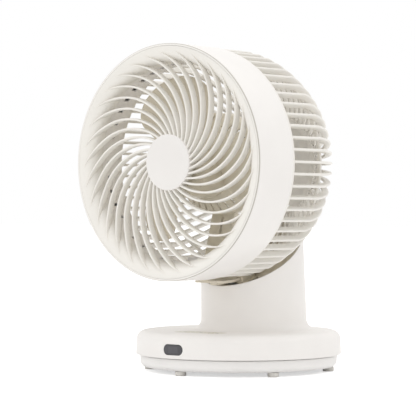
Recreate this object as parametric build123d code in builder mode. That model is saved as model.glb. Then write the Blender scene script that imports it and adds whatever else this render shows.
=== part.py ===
# Desk air circulator fan: a drum-shaped head that tilts in the cradle of a turning base
import os
from math import acos, asin, cos, degrees, pi, radians, sin, sqrt, tan

from build123d import *

os.makedirs("parts", exist_ok=True)

# All sizes are in millimetres, angles in degrees
# The origin is on the table under the middle of the base, +Z up, the air leaves towards -Y

# Clearances
running_clearance = 0.06
loose_clearance = 0.2
visible_gap = 0.6

# Stand
foot_height = 4.4
foot_radius = 5.5
foot_stem_radius = 2.0
foot_boss_radius = 6.5
foot_count = 6
foot_inset = 8.3
tray_radius = 98.3
tray_wall = 2.4
tray_edge_fillet = 6.0
tray_top = 16.2
collar_step = 2.5
collar_height = 4.3
ballast_thickness = 5.0
pivot_radius = 7.0
pivot_head_radius = 9.0
pivot_head_height = 2.0
pivot_stem_radius = 2.5
pivot_stem_length = 10.0
bearing_wall_inner_radius = 56.0
bearing_wall_outer_radius = 62.0
bearing_ring_margin = 0.5
bearing_height = 2.9

# Turning base cover and neck
cover_overhang = 4.2
cover_draft = 1.0
cover_top = 40.5
cover_edge_fillet = 8.5
shell_wall = 2.4
neck_foot_radius = 53.5
neck_foot_y = 25.2
neck_head_radius = 50.9
neck_head_y = 20.9
neck_top_drop = 40.7
neck_flare = 10.0
turntable_margin = 2.4
turntable_bottom = 24.0
turntable_thickness = 2.5
shell_boss_radius = 4.5
shell_boss_inset = 18.3
shell_boss_angles = (35, 145, 215, 325)
shell_screw_radius = 1.5
shell_screw_head_radius = 3.0
shell_screw_head_height = 1.8
shell_screw_grip = 8.0

# Head
head_height = 205.7
rim_y = -113.3
band_radius = 114.0
band_depth = 53.3
band_wall = 2.2
duct_gap = 17.5
duct_wall = 1.6
duct_start = 17.6
duct_end = 41.0
duct_slot_count = 44
duct_slot_width = 3.6
duct_slot_start = 24.5
duct_slot_length = 7.0
web_width = 9.0
web_thickness = 3.3
trim_depth = 1.4
bell_overrun = 1.2
bell_depth = 17.0
bell_wall = 1.8
grille_fit_depth = 12.0
hub_radius = 27.0
hub_recess = 3.0
hub_cap_thickness = 4.0
hub_disc_thickness = 4.5
spiral_rib_count = 33
spiral_rib_thickness = 1.7
spiral_rib_front = 4.0
spiral_overrun = 19.7
spiral_offset = 8.7
spiral_arc_angle = 94.75
spiral_fade = 8.0

# Rear grille, a cage whose dome is a sphere about the tilt centre
tilt_y = -39.0
cage_step = 1.0
dome_bulge = 3.5
cage_rib_count = 60
cage_rib_thickness = 2.6
cage_rib_depth = 7.0
cage_ring_thickness = 2.8
cage_ring_width = 7.8
hoop_y = 0.0
hoop_width = 3.0
hoop_thickness = 3.6
cap_radius = 52.0
cap_thickness = 2.8
cap_ring_width = 6.0
cage_screw_angles = (33, 93, 147, 213, 327)
cage_screw_radius = 1.5
cage_screw_head_radius = 2.6
mount_screw_angles = (265.5, 274.5)
mount_screw_radius = 1.2
mount_screw_head_radius = 2.2
screw_head_height = 1.8

# Cradle, tilt rail and tilt gears
cradle_gap = 4.5
liner_gap = 2.0
liner_wall = 1.8
liner_slot_width = 46.5
liner_slot_shift = 4.5
liner_slot_margin = 4.0
tilt_up = 45.0
tilt_down = 15.0
tilt_drive_angle = 17.0
tilt_module = 0.8
tilt_pinion_teeth = 16
rail_tooth_width = 8.0
rail_flange_width = 28.0
rail_flange_sink = 1.3
rail_flange_thickness = 2.4
rail_tooth_drop = 1.6
rail_start = -6.0
channel_sink = 4.6
channel_margin = 3.2
channel_depth = 10.0
guide_half_angle = 5.0
guide_gap = 0.3
jaw_thickness = 2.5
jaw_inner_x = 6.0
jaw_wall = 2.2
jaw_lip = 6.0
cheek_margin = 1.5
cheek_foot_x = 26.0
cheek_foot_thickness = 2.5

# Pan gears
pan_module = 1.0
pan_ring_teeth = 72
pan_pinion_teeth = 18
pan_gear_bottom = 17.0
pan_gear_height = 5.0
pan_ring_rim = 7.0
ring_screw_radius = 1.0
ring_screw_head_radius = 1.9
ring_screw_head_height = 1.2
ring_screw_grip = 5.0
gear_backlash = 0.12
gear_pressure_angle = 20.0

# Motors
pinion_shaft_radius = 2.5
pan_motor_radius = 15.0
pan_motor_height = 19.5
tilt_motor_radius = 12.0
tilt_motor_length = 15.0
tilt_motor_offset = 11.7
fan_motor_radius = 30.0
fan_motor_wall = 2.6
fan_motor_front_y = -47.0
fan_motor_rear_y = -1.0
fan_shaft_radius = 3.0
fan_bearing_radius = 8.0
fan_bearing_width = 5.0
mount_collar = 4.0
mount_collar_length = 14.0
mount_front_gap = 1.3
mount_cone_radius = 50.0
mount_cone_depth = 12.6
mount_cone_wall = 2.2
mount_drum_length = 17.0
mount_slit_count = 32
mount_slit_width = 2.2
mount_slit_inner = 38.0
mount_slit_outer = 46.5
leg_half_width = 14.0
leg_top_y = -23.3
leg_foot_y = -36.6
leg_thickness = 5.0
leg_flange_width = 2.4
leg_flange_height = 7.0
leg_foot_gap = 1.0
leg_foot_reach = 6.0
leg_slot_width = 3.0
leg_slot_top = 52.5
leg_slot_bottom = 69.0
stator_depth = 10.4
air_gap = 0.5
stator_slots = 9
stator_slot_inset = 4.5

# Impeller
blade_count = 3
blade_tip_gap = 8.0
blade_start_angle = -54.0
blade_span = 64.0
blade_front_y = -89.0
blade_rear_y = -53.0
blade_root_thickness = 3.0
blade_tip_thickness = 1.8
blade_end_radius = 55.0
blade_crest = 0.57
impeller_hub_overlap = 4.0
impeller_hub_wall = 2.5
impeller_hub_front_y = -95.0
impeller_hub_rear_y = -50.0
spinner_radius = 8.0
spinner_length = 5.3

# Control panel, its buttons and the remote-control window
panel_width = 54.0
panel_depth = 24.0
panel_corner = 6.0
panel_y = -59.0
panel_recess = 0.2
panel_flange = 1.5
panel_flange_thickness = 1.6
button_radius = 4.0
button_pitch = 10.0
button_travel = 0.8
button_collar_radius = 4.7
board_top = 32.0
board_thickness = 1.6
switch_height = 0.9
switch_width = 4.0
window_recess = 0.5
window_width = 24.0
window_height = 10.6
window_z = 25.7
window_thickness = 2.4

# Power inlet in the rear of the tray
inlet_width = 16.0
inlet_height = 7.2
inlet_bottom = 7.4
inlet_depth = 10.0
inlet_nose_radius = 3.4
inlet_bore_radius = 2.75
inlet_pin_radius = 1.0
jack_width = 10.0
jack_length = 12.0
jack_height = 8.2
jack_nose_length = 2.0

# Worked out from the sizes above
tray_floor = foot_height + tray_wall
foot_ring_radius = tray_radius - foot_inset
cover_radius = tray_radius + cover_overhang
neck_top = head_height - neck_top_drop
shell_boss_ring = tray_radius - shell_boss_inset
collar_inner_radius = tray_radius - collar_step - tray_wall
turntable_radius = collar_inner_radius - turntable_margin
ballast_inner_radius = bearing_wall_outer_radius + 2.0
bearing_top = turntable_bottom - 0.1
bearing_bottom = bearing_top - bearing_height
turntable_top = turntable_bottom + turntable_thickness
cover_bottom = tray_top + visible_gap
cover_inner_top = cover_top - shell_wall
cover_inner_radius = cover_radius - shell_wall
pivot_top = turntable_top + 3.8
band_rear_y = rim_y + band_depth
duct_radius = band_radius - duct_gap
web_inner_radius = band_radius - web_width
grille_fit_radius = band_radius - band_wall - loose_clearance
bell_arc = bell_depth - 0.2
bell_centre = grille_fit_radius + bell_overrun
bell_lip_radius = bell_centre - bell_arc
spiral_outer_radius = bell_lip_radius + spiral_fade
spiral_arc_radius = (spiral_outer_radius + spiral_overrun + spiral_offset) / 2
spiral_arc_centre = (spiral_outer_radius + spiral_overrun - spiral_offset) / 2
cage_radius = band_radius - cage_step
cage_ring_inner_radius = cage_radius - cage_ring_width
dome_radius = cage_radius + dome_bulge
cap_ring_inner_radius = cap_radius - cap_ring_width
cradle_radius = dome_radius + cradle_gap
liner_radius = cradle_radius + liner_gap
rail_flange_inner = dome_radius - rail_flange_sink
rail_flange_outer = rail_flange_inner + rail_flange_thickness
tilt_rail_teeth = round(2 * (rail_flange_outer + rail_tooth_drop) / tilt_module)
channel_radius = dome_radius - channel_sink
channel_half_width = rail_flange_width / 2 + channel_margin
stator_inner_radius = fan_motor_radius - fan_motor_wall - stator_depth
stator_slot_ring = stator_inner_radius + stator_slot_inset
blade_tip_radius = duct_radius - blade_tip_gap
impeller_hub_radius = fan_motor_radius + impeller_hub_overlap
cage_start_y = band_rear_y + cage_ring_thickness
tilt_centre = Vector(0, tilt_y, head_height)
tilt_axis = Axis(tilt_centre, (1, 0, 0))
side_plane = Plane(origin=tilt_centre, x_dir=(0, 0, -1), z_dir=(1, 0, 0))
head_axis = Axis((0, 0, head_height), (0, 1, 0))
rail_pitch_radius = tilt_module * tilt_rail_teeth / 2
tilt_pinion_radius = tilt_module * tilt_pinion_teeth / 2
tilt_pinion_distance = rail_pitch_radius + tilt_pinion_radius
pan_ring_radius = pan_module * pan_ring_teeth / 2
pan_ring_outer_radius = pan_ring_radius + pan_ring_rim
pan_pinion_radius = pan_module * pan_pinion_teeth / 2
pan_pinion_y = pan_ring_radius - pan_pinion_radius
rail_end = tilt_drive_angle + tilt_up + 4.0
rail_spine_start = -degrees(asin((tilt_y - cage_start_y - loose_clearance) / dome_radius))
rail_spine_end = degrees(acos((cap_radius + loose_clearance) / (dome_radius - cage_rib_depth)))
guide_start = tilt_drive_angle - guide_half_angle
guide_end = tilt_drive_angle + guide_half_angle
channel_end = guide_end + tilt_up + 1.5
cage_inner_radius = cage_radius - cage_rib_depth
dome_inner_radius = dome_radius - cage_rib_depth
inlet_z = inlet_bottom + inlet_height / 2
cage_screw_ring = (cage_ring_inner_radius + cage_radius) / 2
leg_foot_outer = web_inner_radius - leg_foot_gap
leg_wall_outer = leg_foot_outer - leg_foot_reach
leg_foot_inner = leg_wall_outer - leg_thickness
mount_screw_ring = (leg_wall_outer + leg_foot_outer) / 2
ring_screw_ring = pan_ring_outer_radius - 2.2
shoe_top = rail_flange_inner - guide_gap
shoe_floor = rail_flange_outer + guide_gap
shoe_bottom = shoe_floor + jaw_thickness
jaw_outer_x = rail_flange_width / 2 + guide_gap + jaw_wall
cheek_outer_x = jaw_outer_x + cheek_margin
button_floor = board_top + switch_height + button_travel + 0.1
inlet_face_y = tray_radius - 12.0


def spoke_plane(angle):
    """Plane through the head's axis: x runs out from the axis, y back from the rim."""
    a = radians(angle)
    return Plane(origin=(0, rim_y, head_height), x_dir=(sin(a), 0, cos(a)), z_dir=(-cos(a), 0, sin(a)))


def face_plane(depth):
    """Plane square to the head's axis at a depth behind the rim, x to the right and y up from the front."""
    return Plane(origin=(0, rim_y + depth, head_height), x_dir=(1, 0, 0), z_dir=(0, -1, 0))


def rail_plane(angle):
    """Plane through the tilt axis: x along that axis, y out at an angle back from straight down."""
    a = radians(angle)
    return Plane(origin=tilt_centre, x_dir=(1, 0, 0), z_dir=(0, cos(a), sin(a)))


def polar(radius, angle):
    """Point at a radius and an angle in degrees."""
    return (radius * cos(radians(angle)), radius * sin(radians(angle)))


def dome_y(radius, distance):
    """Depth behind the rim of a sphere about the tilt centre, at a distance from the head's axis."""
    return tilt_y - rim_y + sqrt(radius * radius - distance * distance)


def gear_tooth(teeth, module, above, below, thinning, centre):
    """Points of one involute tooth, from root to tip and back, anticlockwise about the gear's middle."""
    pitch = module * teeth / 2
    base = pitch * cos(radians(gear_pressure_angle))
    at_pitch = tan(radians(gear_pressure_angle)) - radians(gear_pressure_angle)
    half_at_pitch = pi / (2 * teeth) - thinning / (2 * pitch)
    radii = [pitch - below, pitch, pitch + above / 2, pitch + above]
    if base > pitch - below:
        radii.insert(1, base)
    flank = []
    for radius in radii:
        pressure = acos(min(1.0, base / radius))
        half = half_at_pitch + at_pitch - (tan(pressure) - pressure)
        flank.append((radius, degrees(half)))
    rising = [polar(radius, centre - half) for radius, half in flank]
    falling = [polar(radius, centre + half) for radius, half in reversed(flank)]
    return rising + falling


def gear_outline(teeth, module, above, below, thinning, first_centre):
    """Points of a whole gear."""
    points = []
    for tooth in range(teeth):
        points += gear_tooth(teeth, module, above, below, thinning, first_centre + 360 * tooth / teeth)
    return points


def spiral_point(radius, arc_radius):
    """Point where a spiral rib's arc crosses a radius."""
    across = radius * radius + spiral_arc_centre ** 2 - arc_radius * arc_radius
    turn = degrees(acos(across / (2 * radius * spiral_arc_centre)))
    return polar(radius, spiral_arc_angle - turn)


# Bottom tray: floor, wall with a labyrinth collar, gear pedestal, bearing wall and pivot post
with BuildPart() as bottom_tray:
    with BuildSketch(Plane.XZ):
        Polygon(
            (0, foot_height),
            (tray_radius - tray_edge_fillet, foot_height),
            (tray_radius - tray_edge_fillet, foot_height + tray_edge_fillet),
            (0, foot_height + tray_edge_fillet),
        )
        Polygon(
            (tray_radius, foot_height + tray_edge_fillet),
            (tray_radius, tray_top),
            (tray_radius - collar_step, tray_top),
            (tray_radius - collar_step, tray_top + collar_height),
            (collar_inner_radius, tray_top + collar_height),
            (collar_inner_radius, foot_height + tray_edge_fillet),
        )
        with Locations((tray_radius - tray_edge_fillet, foot_height + tray_edge_fillet)):
            Circle(tray_edge_fillet)
        Polygon(
            (0, tray_floor),
            (collar_inner_radius, tray_floor),
            (collar_inner_radius, foot_height + 3 * tray_edge_fillet),
            (0, foot_height + 3 * tray_edge_fillet),
            mode=Mode.SUBTRACT,
        )
        for inner, outer, top in (
            (0, pivot_radius, pivot_top),
            (pan_ring_radius + 1.6, pan_ring_outer_radius, pan_gear_bottom),
            (bearing_wall_inner_radius, bearing_wall_outer_radius, bearing_bottom),
        ):
            Polygon((inner, foot_height + 1), (outer, foot_height + 1), (outer, top), (inner, top))
    revolve(axis=Axis.Z)
    with BuildSketch(Plane.XY.offset(foot_height)):
        with PolarLocations(foot_ring_radius, foot_count, start_angle=-90):
            Circle(foot_boss_radius)
    extrude(amount=tray_wall)
    with BuildSketch(Plane.XY.offset(inlet_bottom - 0.6)):
        with Locations((0, inlet_face_y + 3.5)):
            Rectangle(inlet_width + 4, 11)
    extrude(amount=inlet_height + 1.8)
    with BuildSketch(Plane.XZ.offset(-inlet_face_y)):
        with Locations((0, inlet_z)):
            RectangleRounded(inlet_width, inlet_height, 1.5)
    extrude(amount=-20, mode=Mode.SUBTRACT)
    with BuildSketch(Plane.XZ.offset(-inlet_face_y + 4)):
        with Locations((0, inlet_z)):
            Circle(inlet_nose_radius + 0.1)
    extrude(amount=-6, mode=Mode.SUBTRACT)
    with BuildSketch(Plane.XY):
        with PolarLocations(foot_ring_radius, foot_count, start_angle=-90):
            Circle(foot_stem_radius + 0.05)
    extrude(amount=tray_floor + 1, mode=Mode.SUBTRACT)
    with BuildSketch(Plane.XY.offset(pivot_top - pivot_stem_length - 1)):
        Circle(pivot_stem_radius + 0.05)
    extrude(amount=pivot_stem_length + 2, mode=Mode.SUBTRACT)
    with BuildSketch(Plane.XY.offset(pan_gear_bottom - ring_screw_grip - 1)):
        with PolarLocations(ring_screw_ring, 4, start_angle=45):
            Circle(ring_screw_radius + 0.05)
    extrude(amount=10, mode=Mode.SUBTRACT)
bottom_tray.part.label = "bottom_tray"
export_step(bottom_tray.part, "parts/bottom_tray.step")

# Rubber feet with stems pushed through the tray's floor
with BuildPart() as rubber_feet:
    with BuildSketch(Plane.XY):
        with PolarLocations(foot_ring_radius, foot_count, start_angle=-90):
            Circle(foot_radius)
    extrude(amount=foot_height)
    chamfer(rubber_feet.edges().group_by(Axis.Z)[0], 0.5)
    with BuildSketch(Plane.XY.offset(foot_height)):
        with PolarLocations(foot_ring_radius, foot_count, start_angle=-90):
            Circle(foot_stem_radius)
    extrude(amount=tray_wall)
rubber_feet.part.label = "rubber_feet"
export_step(rubber_feet.part, "parts/rubber_feet.step")

# Steel ring on the tray's floor, notched for the power inlet
with BuildPart() as ballast_plate:
    with BuildSketch(Plane.XY.offset(tray_floor)):
        Circle(foot_ring_radius - 2)
        Circle(ballast_inner_radius, mode=Mode.SUBTRACT)
        with Locations((0, tray_radius - 20)):
            Rectangle(inlet_width + 10, 50, mode=Mode.SUBTRACT)
        with PolarLocations(foot_ring_radius, foot_count, start_angle=-90):
            Circle(foot_stem_radius + 2, mode=Mode.SUBTRACT)
    extrude(amount=ballast_thickness)
ballast_plate.part.label = "ballast_plate"
export_step(ballast_plate.part, "parts/ballast_plate.step")

# Internal gear screwed to the tray, which the pan pinion walks round
with BuildPart() as pan_ring_gear:
    with BuildSketch(Plane.XY.offset(pan_gear_bottom)):
        Circle(pan_ring_outer_radius)
        Polygon(
            *gear_outline(pan_ring_teeth, pan_module, 1.25, 0.5, -gear_backlash, 90),
            align=None,
            mode=Mode.SUBTRACT,
        )
        with PolarLocations(ring_screw_ring, 4, start_angle=45):
            Circle(ring_screw_radius + 0.1, mode=Mode.SUBTRACT)
    extrude(amount=pan_gear_height)
pan_ring_gear.part.label = "pan_ring_gear"
export_step(pan_ring_gear.part, "parts/pan_ring_gear.step")

# Four screws that hold the ring gear
with BuildPart() as ring_gear_screws:
    with BuildSketch(Plane.XY.offset(pan_gear_bottom + pan_gear_height)):
        with PolarLocations(ring_screw_ring, 4, start_angle=45):
            Circle(ring_screw_head_radius)
    extrude(amount=ring_screw_head_height)
    with BuildSketch(Plane.XY.offset(pan_gear_bottom - ring_screw_grip)):
        with PolarLocations(ring_screw_ring, 4, start_angle=45):
            Circle(ring_screw_radius)
    extrude(amount=pan_gear_height + ring_screw_grip)
ring_gear_screws.part.label = "ring_gear_screws"
export_step(ring_gear_screws.part, "parts/ring_gear_screws.step")

# Slippery ring that carries the turntable
with BuildPart() as bearing_ring:
    with BuildSketch(Plane.XY.offset(bearing_bottom)):
        Circle(bearing_wall_outer_radius - bearing_ring_margin)
        Circle(bearing_wall_inner_radius + bearing_ring_margin, mode=Mode.SUBTRACT)
    extrude(amount=bearing_height)
bearing_ring.part.label = "bearing_ring"
export_step(bearing_ring.part, "parts/bearing_ring.step")

# Broad-headed screw that keeps the turntable on its post
with BuildPart() as pivot_screw:
    with BuildSketch(Plane.XY.offset(pivot_top)):
        Circle(pivot_head_radius)
    extrude(amount=pivot_head_height)
    with BuildSketch(Plane.XY.offset(pivot_top - pivot_stem_length)):
        Circle(pivot_stem_radius)
    extrude(amount=pivot_stem_length)
    with BuildSketch(Plane.XY.offset(pivot_top + pivot_head_height - 1.2)):
        Rectangle(5, 1.1)
        Rectangle(1.1, 5)
    extrude(amount=2, mode=Mode.SUBTRACT)
pivot_screw.part.label = "pivot_screw"
export_step(pivot_screw.part, "parts/pivot_screw.step")

# Power inlet: a body behind the recess, a round nose in its hole, a bore and a centre pin
with BuildPart() as dc_jack:
    with BuildSketch(Plane.XY.offset(tray_floor)):
        with Locations((0, inlet_face_y - jack_nose_length - jack_length / 2)):
            Rectangle(jack_width, jack_length)
    extrude(amount=jack_height)
    with BuildSketch(Plane.XZ.offset(-inlet_face_y + jack_nose_length)):
        with Locations((0, inlet_z)):
            Circle(inlet_nose_radius)
    extrude(amount=-jack_nose_length)
    with BuildSketch(Plane.XZ.offset(-inlet_face_y)):
        with Locations((0, inlet_z)):
            Circle(inlet_bore_radius)
    extrude(amount=inlet_depth, mode=Mode.SUBTRACT)
    with BuildSketch(Plane.XZ.offset(-inlet_face_y + inlet_depth)):
        with Locations((0, inlet_z)):
            Circle(inlet_pin_radius)
    extrude(amount=-inlet_depth + 1)
dc_jack.part.label = "dc_jack"
export_step(dc_jack.part, "parts/dc_jack.step")

# Cover and neck in one moulding, the neck's rim cut by a sphere about the tilt centre
with BuildPart() as base_shell:
    with BuildSketch(Plane.XZ) as cover_profile:
        Polygon(
            (0, cover_bottom),
            (cover_radius, cover_bottom),
            (cover_radius - cover_draft, cover_top),
            (0, cover_top),
        )
        fillet(cover_profile.vertices().group_by(Axis.X)[-2], cover_edge_fillet)
    revolve(axis=Axis.Z)
    with BuildSketch(Plane.XY.offset(cover_inner_top)):
        with Locations((0, neck_foot_y)):
            Circle(neck_foot_radius)
    with BuildSketch(Plane.XY.offset(neck_top)):
        with Locations((0, neck_head_y)):
            Circle(neck_head_radius)
    loft(ruled=True)
    rim_edges = base_shell.edges().filter_by_position(Axis.Z, cover_top - 0.01, cover_top + 0.01)
    fillet(rim_edges.sort_by(SortBy.LENGTH)[0], neck_flare)
    with BuildSketch(Plane.XZ) as cavity_profile:
        Polygon(
            (0, cover_bottom - 1),
            (cover_inner_radius, cover_bottom - 1),
            (cover_inner_radius - cover_draft, cover_inner_top),
            (0, cover_inner_top),
        )
        fillet(cavity_profile.vertices().group_by(Axis.X)[-2], cover_edge_fillet - shell_wall)
    revolve(axis=Axis.Z, mode=Mode.SUBTRACT)
    with BuildSketch(Plane.XY.offset(cover_inner_top - 2)):
        with Locations((0, neck_foot_y)):
            Circle(neck_foot_radius - shell_wall)
    with BuildSketch(Plane.XY.offset(neck_top + 1)):
        with Locations((0, neck_head_y)):
            Circle(neck_head_radius - shell_wall)
    loft(ruled=True, mode=Mode.SUBTRACT)
    with Locations(tilt_centre):
        Sphere(cradle_radius, mode=Mode.SUBTRACT)
    with BuildSketch(Plane.XY.offset(cover_top + 1)):
        with Locations((0, panel_y)):
            RectangleRounded(panel_width, panel_depth, panel_corner)
    extrude(amount=-shell_wall - 2, mode=Mode.SUBTRACT)
    with BuildSketch(Plane.XZ.offset(cover_inner_radius - 8)):
        with Locations((0, window_z)):
            SlotOverall(window_width, window_height)
    extrude(amount=20, mode=Mode.SUBTRACT)
    with BuildSketch(Plane.XY.offset(turntable_top)):
        for angle in shell_boss_angles:
            with Locations(polar(shell_boss_ring, angle)):
                Circle(shell_boss_radius)
    extrude(amount=cover_inner_top - turntable_top + 0.5)
    with BuildSketch(Plane.XY.offset(turntable_top)):
        for angle in shell_boss_angles:
            with Locations(polar(shell_boss_ring, angle)):
                Circle(shell_screw_radius + 0.05)
    extrude(amount=shell_screw_grip + 1, mode=Mode.SUBTRACT)
base_shell.part.label = "base_shell"
export_step(base_shell.part, "parts/base_shell.step")

# Turntable plate with a sleeve round the tray's post
with BuildPart() as turntable_plate:
    with BuildSketch(Plane.XY.offset(turntable_bottom)):
        Circle(turntable_radius)
    extrude(amount=turntable_thickness)
    with BuildSketch(Plane.XY.offset(turntable_bottom - 6)):
        Circle(pivot_head_radius + 0.8)
    extrude(amount=pivot_top - 0.3 - turntable_bottom + 6)
    with BuildSketch(Plane.XY.offset(turntable_bottom - 7)):
        Circle(pivot_radius + running_clearance)
    extrude(amount=20, mode=Mode.SUBTRACT)
    with BuildSketch(Plane.XY.offset(turntable_bottom - 1)):
        with Locations((0, pan_pinion_y)):
            Circle(pinion_shaft_radius + 1.5)
        for angle in shell_boss_angles:
            with Locations(polar(shell_boss_ring, angle)):
                Circle(shell_screw_radius + 0.2)
    extrude(amount=turntable_thickness + 2, mode=Mode.SUBTRACT)
turntable_plate.part.label = "turntable_plate"
export_step(turntable_plate.part, "parts/turntable_plate.step")

# Screws from under the plate into the cover's bosses
with BuildPart() as shell_screws:
    with BuildSketch(Plane.XY.offset(turntable_bottom - shell_screw_head_height)):
        for angle in shell_boss_angles:
            with Locations(polar(shell_boss_ring, angle)):
                Circle(shell_screw_head_radius)
    extrude(amount=shell_screw_head_height)
    with BuildSketch(Plane.XY.offset(turntable_bottom)):
        for angle in shell_boss_angles:
            with Locations(polar(shell_boss_ring, angle)):
                Circle(shell_screw_radius)
    extrude(amount=turntable_thickness + shell_screw_grip)
shell_screws.part.label = "shell_screws"
export_step(shell_screws.part, "parts/shell_screws.step")

# Dish that closes the neck under the head, open where the rail's guides stand
with BuildPart() as cradle_liner:
    with BuildSketch(Plane.XY.offset(cover_top)):
        with Locations((0, neck_foot_y)):
            Circle(neck_foot_radius - shell_wall - loose_clearance)
    with BuildSketch(Plane.XY.offset(neck_top)):
        with Locations((0, neck_head_y)):
            Circle(neck_head_radius - shell_wall - loose_clearance)
    loft(ruled=True)
    with Locations(tilt_centre):
        Sphere(liner_radius + liner_wall, mode=Mode.INTERSECT)
    with Locations(tilt_centre):
        Sphere(liner_radius, mode=Mode.SUBTRACT)
    with BuildSketch(rail_plane(guide_start - liner_slot_margin)):
        with Locations((liner_slot_shift, liner_radius)):
            Rectangle(liner_slot_width, 12)
    revolve(
        axis=tilt_axis,
        revolution_arc=2 * guide_half_angle + 2 * liner_slot_margin,
        mode=Mode.SUBTRACT,
    )
cradle_liner.part.label = "cradle_liner"
export_step(cradle_liner.part, "parts/cradle_liner.step")

# Two C-shaped shoes that grip the edges of the rail
with BuildPart() as rail_guides:
    with BuildSketch(rail_plane(guide_start)):
        for side in (-1, 1):
            with Locations((side * (jaw_inner_x + jaw_outer_x) / 2, (shoe_bottom + shoe_floor) / 2)):
                Rectangle(jaw_outer_x - jaw_inner_x, jaw_thickness)
            wall_inner = rail_flange_width / 2 + guide_gap
            with Locations((side * (wall_inner + jaw_outer_x) / 2, (shoe_bottom + shoe_top - jaw_thickness) / 2)):
                Rectangle(jaw_outer_x - wall_inner, shoe_bottom - shoe_top + jaw_thickness)
            lip_inner = jaw_outer_x - jaw_lip
            with Locations((side * (lip_inner + jaw_outer_x) / 2, shoe_top - jaw_thickness / 2)):
                Rectangle(jaw_outer_x - lip_inner, jaw_thickness)
    revolve(axis=tilt_axis, revolution_arc=2 * guide_half_angle)
rail_guides.part.label = "rail_guides"
export_step(rail_guides.part, "parts/rail_guides.step")

# Upright frame from the turntable plate to the guides, bored for the tilt pinion's shaft
tilt_pinion_y = tilt_y + tilt_pinion_distance * sin(radians(tilt_drive_angle))
tilt_pinion_z = head_height - tilt_pinion_distance * cos(radians(tilt_drive_angle))
cheek_inner_x = pivot_head_radius + 1.0
cheek_start_y = tilt_y + shoe_bottom * sin(radians(guide_start))
cheek_end_y = tilt_y + shoe_bottom * sin(radians(guide_end))
with BuildPart() as tilt_frame:
    with BuildSketch(Plane.XY.offset(turntable_top)):
        for side in (-1, 1):
            with Locations((side * (cheek_inner_x + cheek_outer_x) / 2, (cheek_start_y + cheek_end_y) / 2)):
                Rectangle(cheek_outer_x - cheek_inner_x, cheek_end_y - cheek_start_y)
    extrude(amount=tilt_pinion_z + 12 - turntable_top)
    with BuildSketch(Plane.XY.offset(turntable_top)):
        for side in (-1, 1):
            with Locations((side * (cheek_inner_x + cheek_foot_x) / 2, (cheek_start_y + cheek_end_y) / 2)):
                Rectangle(cheek_foot_x - cheek_inner_x, cheek_end_y - cheek_start_y)
    extrude(amount=cheek_foot_thickness)
    with BuildSketch(Plane.XY.offset(turntable_top + 12)):
        with Locations((0, cheek_start_y + 1.5)):
            Rectangle(2 * cheek_outer_x, 3)
    extrude(amount=30)
    with BuildSketch(side_plane):
        Circle(shoe_bottom)
    extrude(amount=cheek_foot_x, both=True, mode=Mode.SUBTRACT)
    with BuildSketch(Plane.YZ.offset(-30)):
        with Locations((tilt_pinion_y, tilt_pinion_z)):
            Circle(pinion_shaft_radius + running_clearance)
    extrude(amount=60, mode=Mode.SUBTRACT)
tilt_frame.part.label = "tilt_frame"
export_step(tilt_frame.part, "parts/tilt_frame.step")

# Pan motor on the plate, over the ring gear
with BuildPart() as pan_motor:
    with BuildSketch(Plane.XY.offset(turntable_top)):
        with Locations((0, pan_pinion_y)):
            Circle(pan_motor_radius)
    extrude(amount=pan_motor_height)
    with BuildSketch(Plane.XY.offset(turntable_top)):
        with Locations((0, pan_pinion_y)):
            SlotOverall(2 * pan_motor_radius + 14, 8)
    extrude(amount=1.5)
    with BuildSketch(Plane.XY.offset(turntable_top)):
        with Locations((0, pan_pinion_y)):
            Circle(pinion_shaft_radius + running_clearance)
    extrude(amount=10, mode=Mode.SUBTRACT)
pan_motor.part.label = "pan_motor"
export_step(pan_motor.part, "parts/pan_motor.step")

# Pan pinion and its shaft
with BuildPart() as pan_pinion:
    with BuildSketch(Plane.XY.offset(pan_gear_bottom + 0.4)):
        with Locations((0, pan_pinion_y)):
            Polygon(*gear_outline(pan_pinion_teeth, pan_module, 0.9, 0.9, gear_backlash, 90), align=None)
    extrude(amount=pan_gear_height - 0.8)
    with BuildSketch(Plane.XY.offset(pan_gear_bottom + 0.4)):
        with Locations((0, pan_pinion_y)):
            Circle(pinion_shaft_radius)
    extrude(amount=turntable_top + 9 - pan_gear_bottom)
pan_pinion.part.label = "pan_pinion"
export_step(pan_pinion.part, "parts/pan_pinion.step")

# Tilt pinion between the cheeks, its teeth in mesh with the rail's at rest
pinion_plane = Plane(origin=(0, tilt_pinion_y, tilt_pinion_z), x_dir=(0, 1, 0), z_dir=(1, 0, 0))
facing_rail = 90 + tilt_drive_angle
with BuildPart() as tilt_pinion:
    with BuildSketch(pinion_plane.offset(-rail_tooth_width / 2)):
        first_centre = facing_rail + 180 / tilt_pinion_teeth
        Polygon(
            *gear_outline(tilt_pinion_teeth, tilt_module, 0.65, 0.7, gear_backlash, first_centre),
            align=None,
        )
    extrude(amount=rail_tooth_width)
    with BuildSketch(pinion_plane.offset(-cheek_outer_x)):
        Circle(pinion_shaft_radius)
    extrude(amount=2 * cheek_outer_x + 6)
tilt_pinion.part.label = "tilt_pinion"
export_step(tilt_pinion.part, "parts/tilt_pinion.step")

# Tilt motor on the right cheek, its body set below the output shaft
down = Vector(0, sin(radians(tilt_drive_angle)), -cos(radians(tilt_drive_angle)))
motor_centre = Vector(0, tilt_pinion_y, tilt_pinion_z) + down * tilt_motor_offset
with BuildPart() as tilt_motor:
    with BuildSketch(Plane(origin=motor_centre, x_dir=(0, 1, 0), z_dir=(1, 0, 0)).offset(cheek_outer_x)):
        Circle(tilt_motor_radius)
    extrude(amount=tilt_motor_length)
    with BuildSketch(pinion_plane.offset(cheek_outer_x)):
        Circle(pinion_shaft_radius + 2)
    extrude(amount=8)
    with BuildSketch(pinion_plane.offset(cheek_outer_x)):
        Circle(pinion_shaft_radius + running_clearance)
    extrude(amount=7, mode=Mode.SUBTRACT)
tilt_motor.part.label = "tilt_motor"
export_step(tilt_motor.part, "parts/tilt_motor.step")

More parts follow.
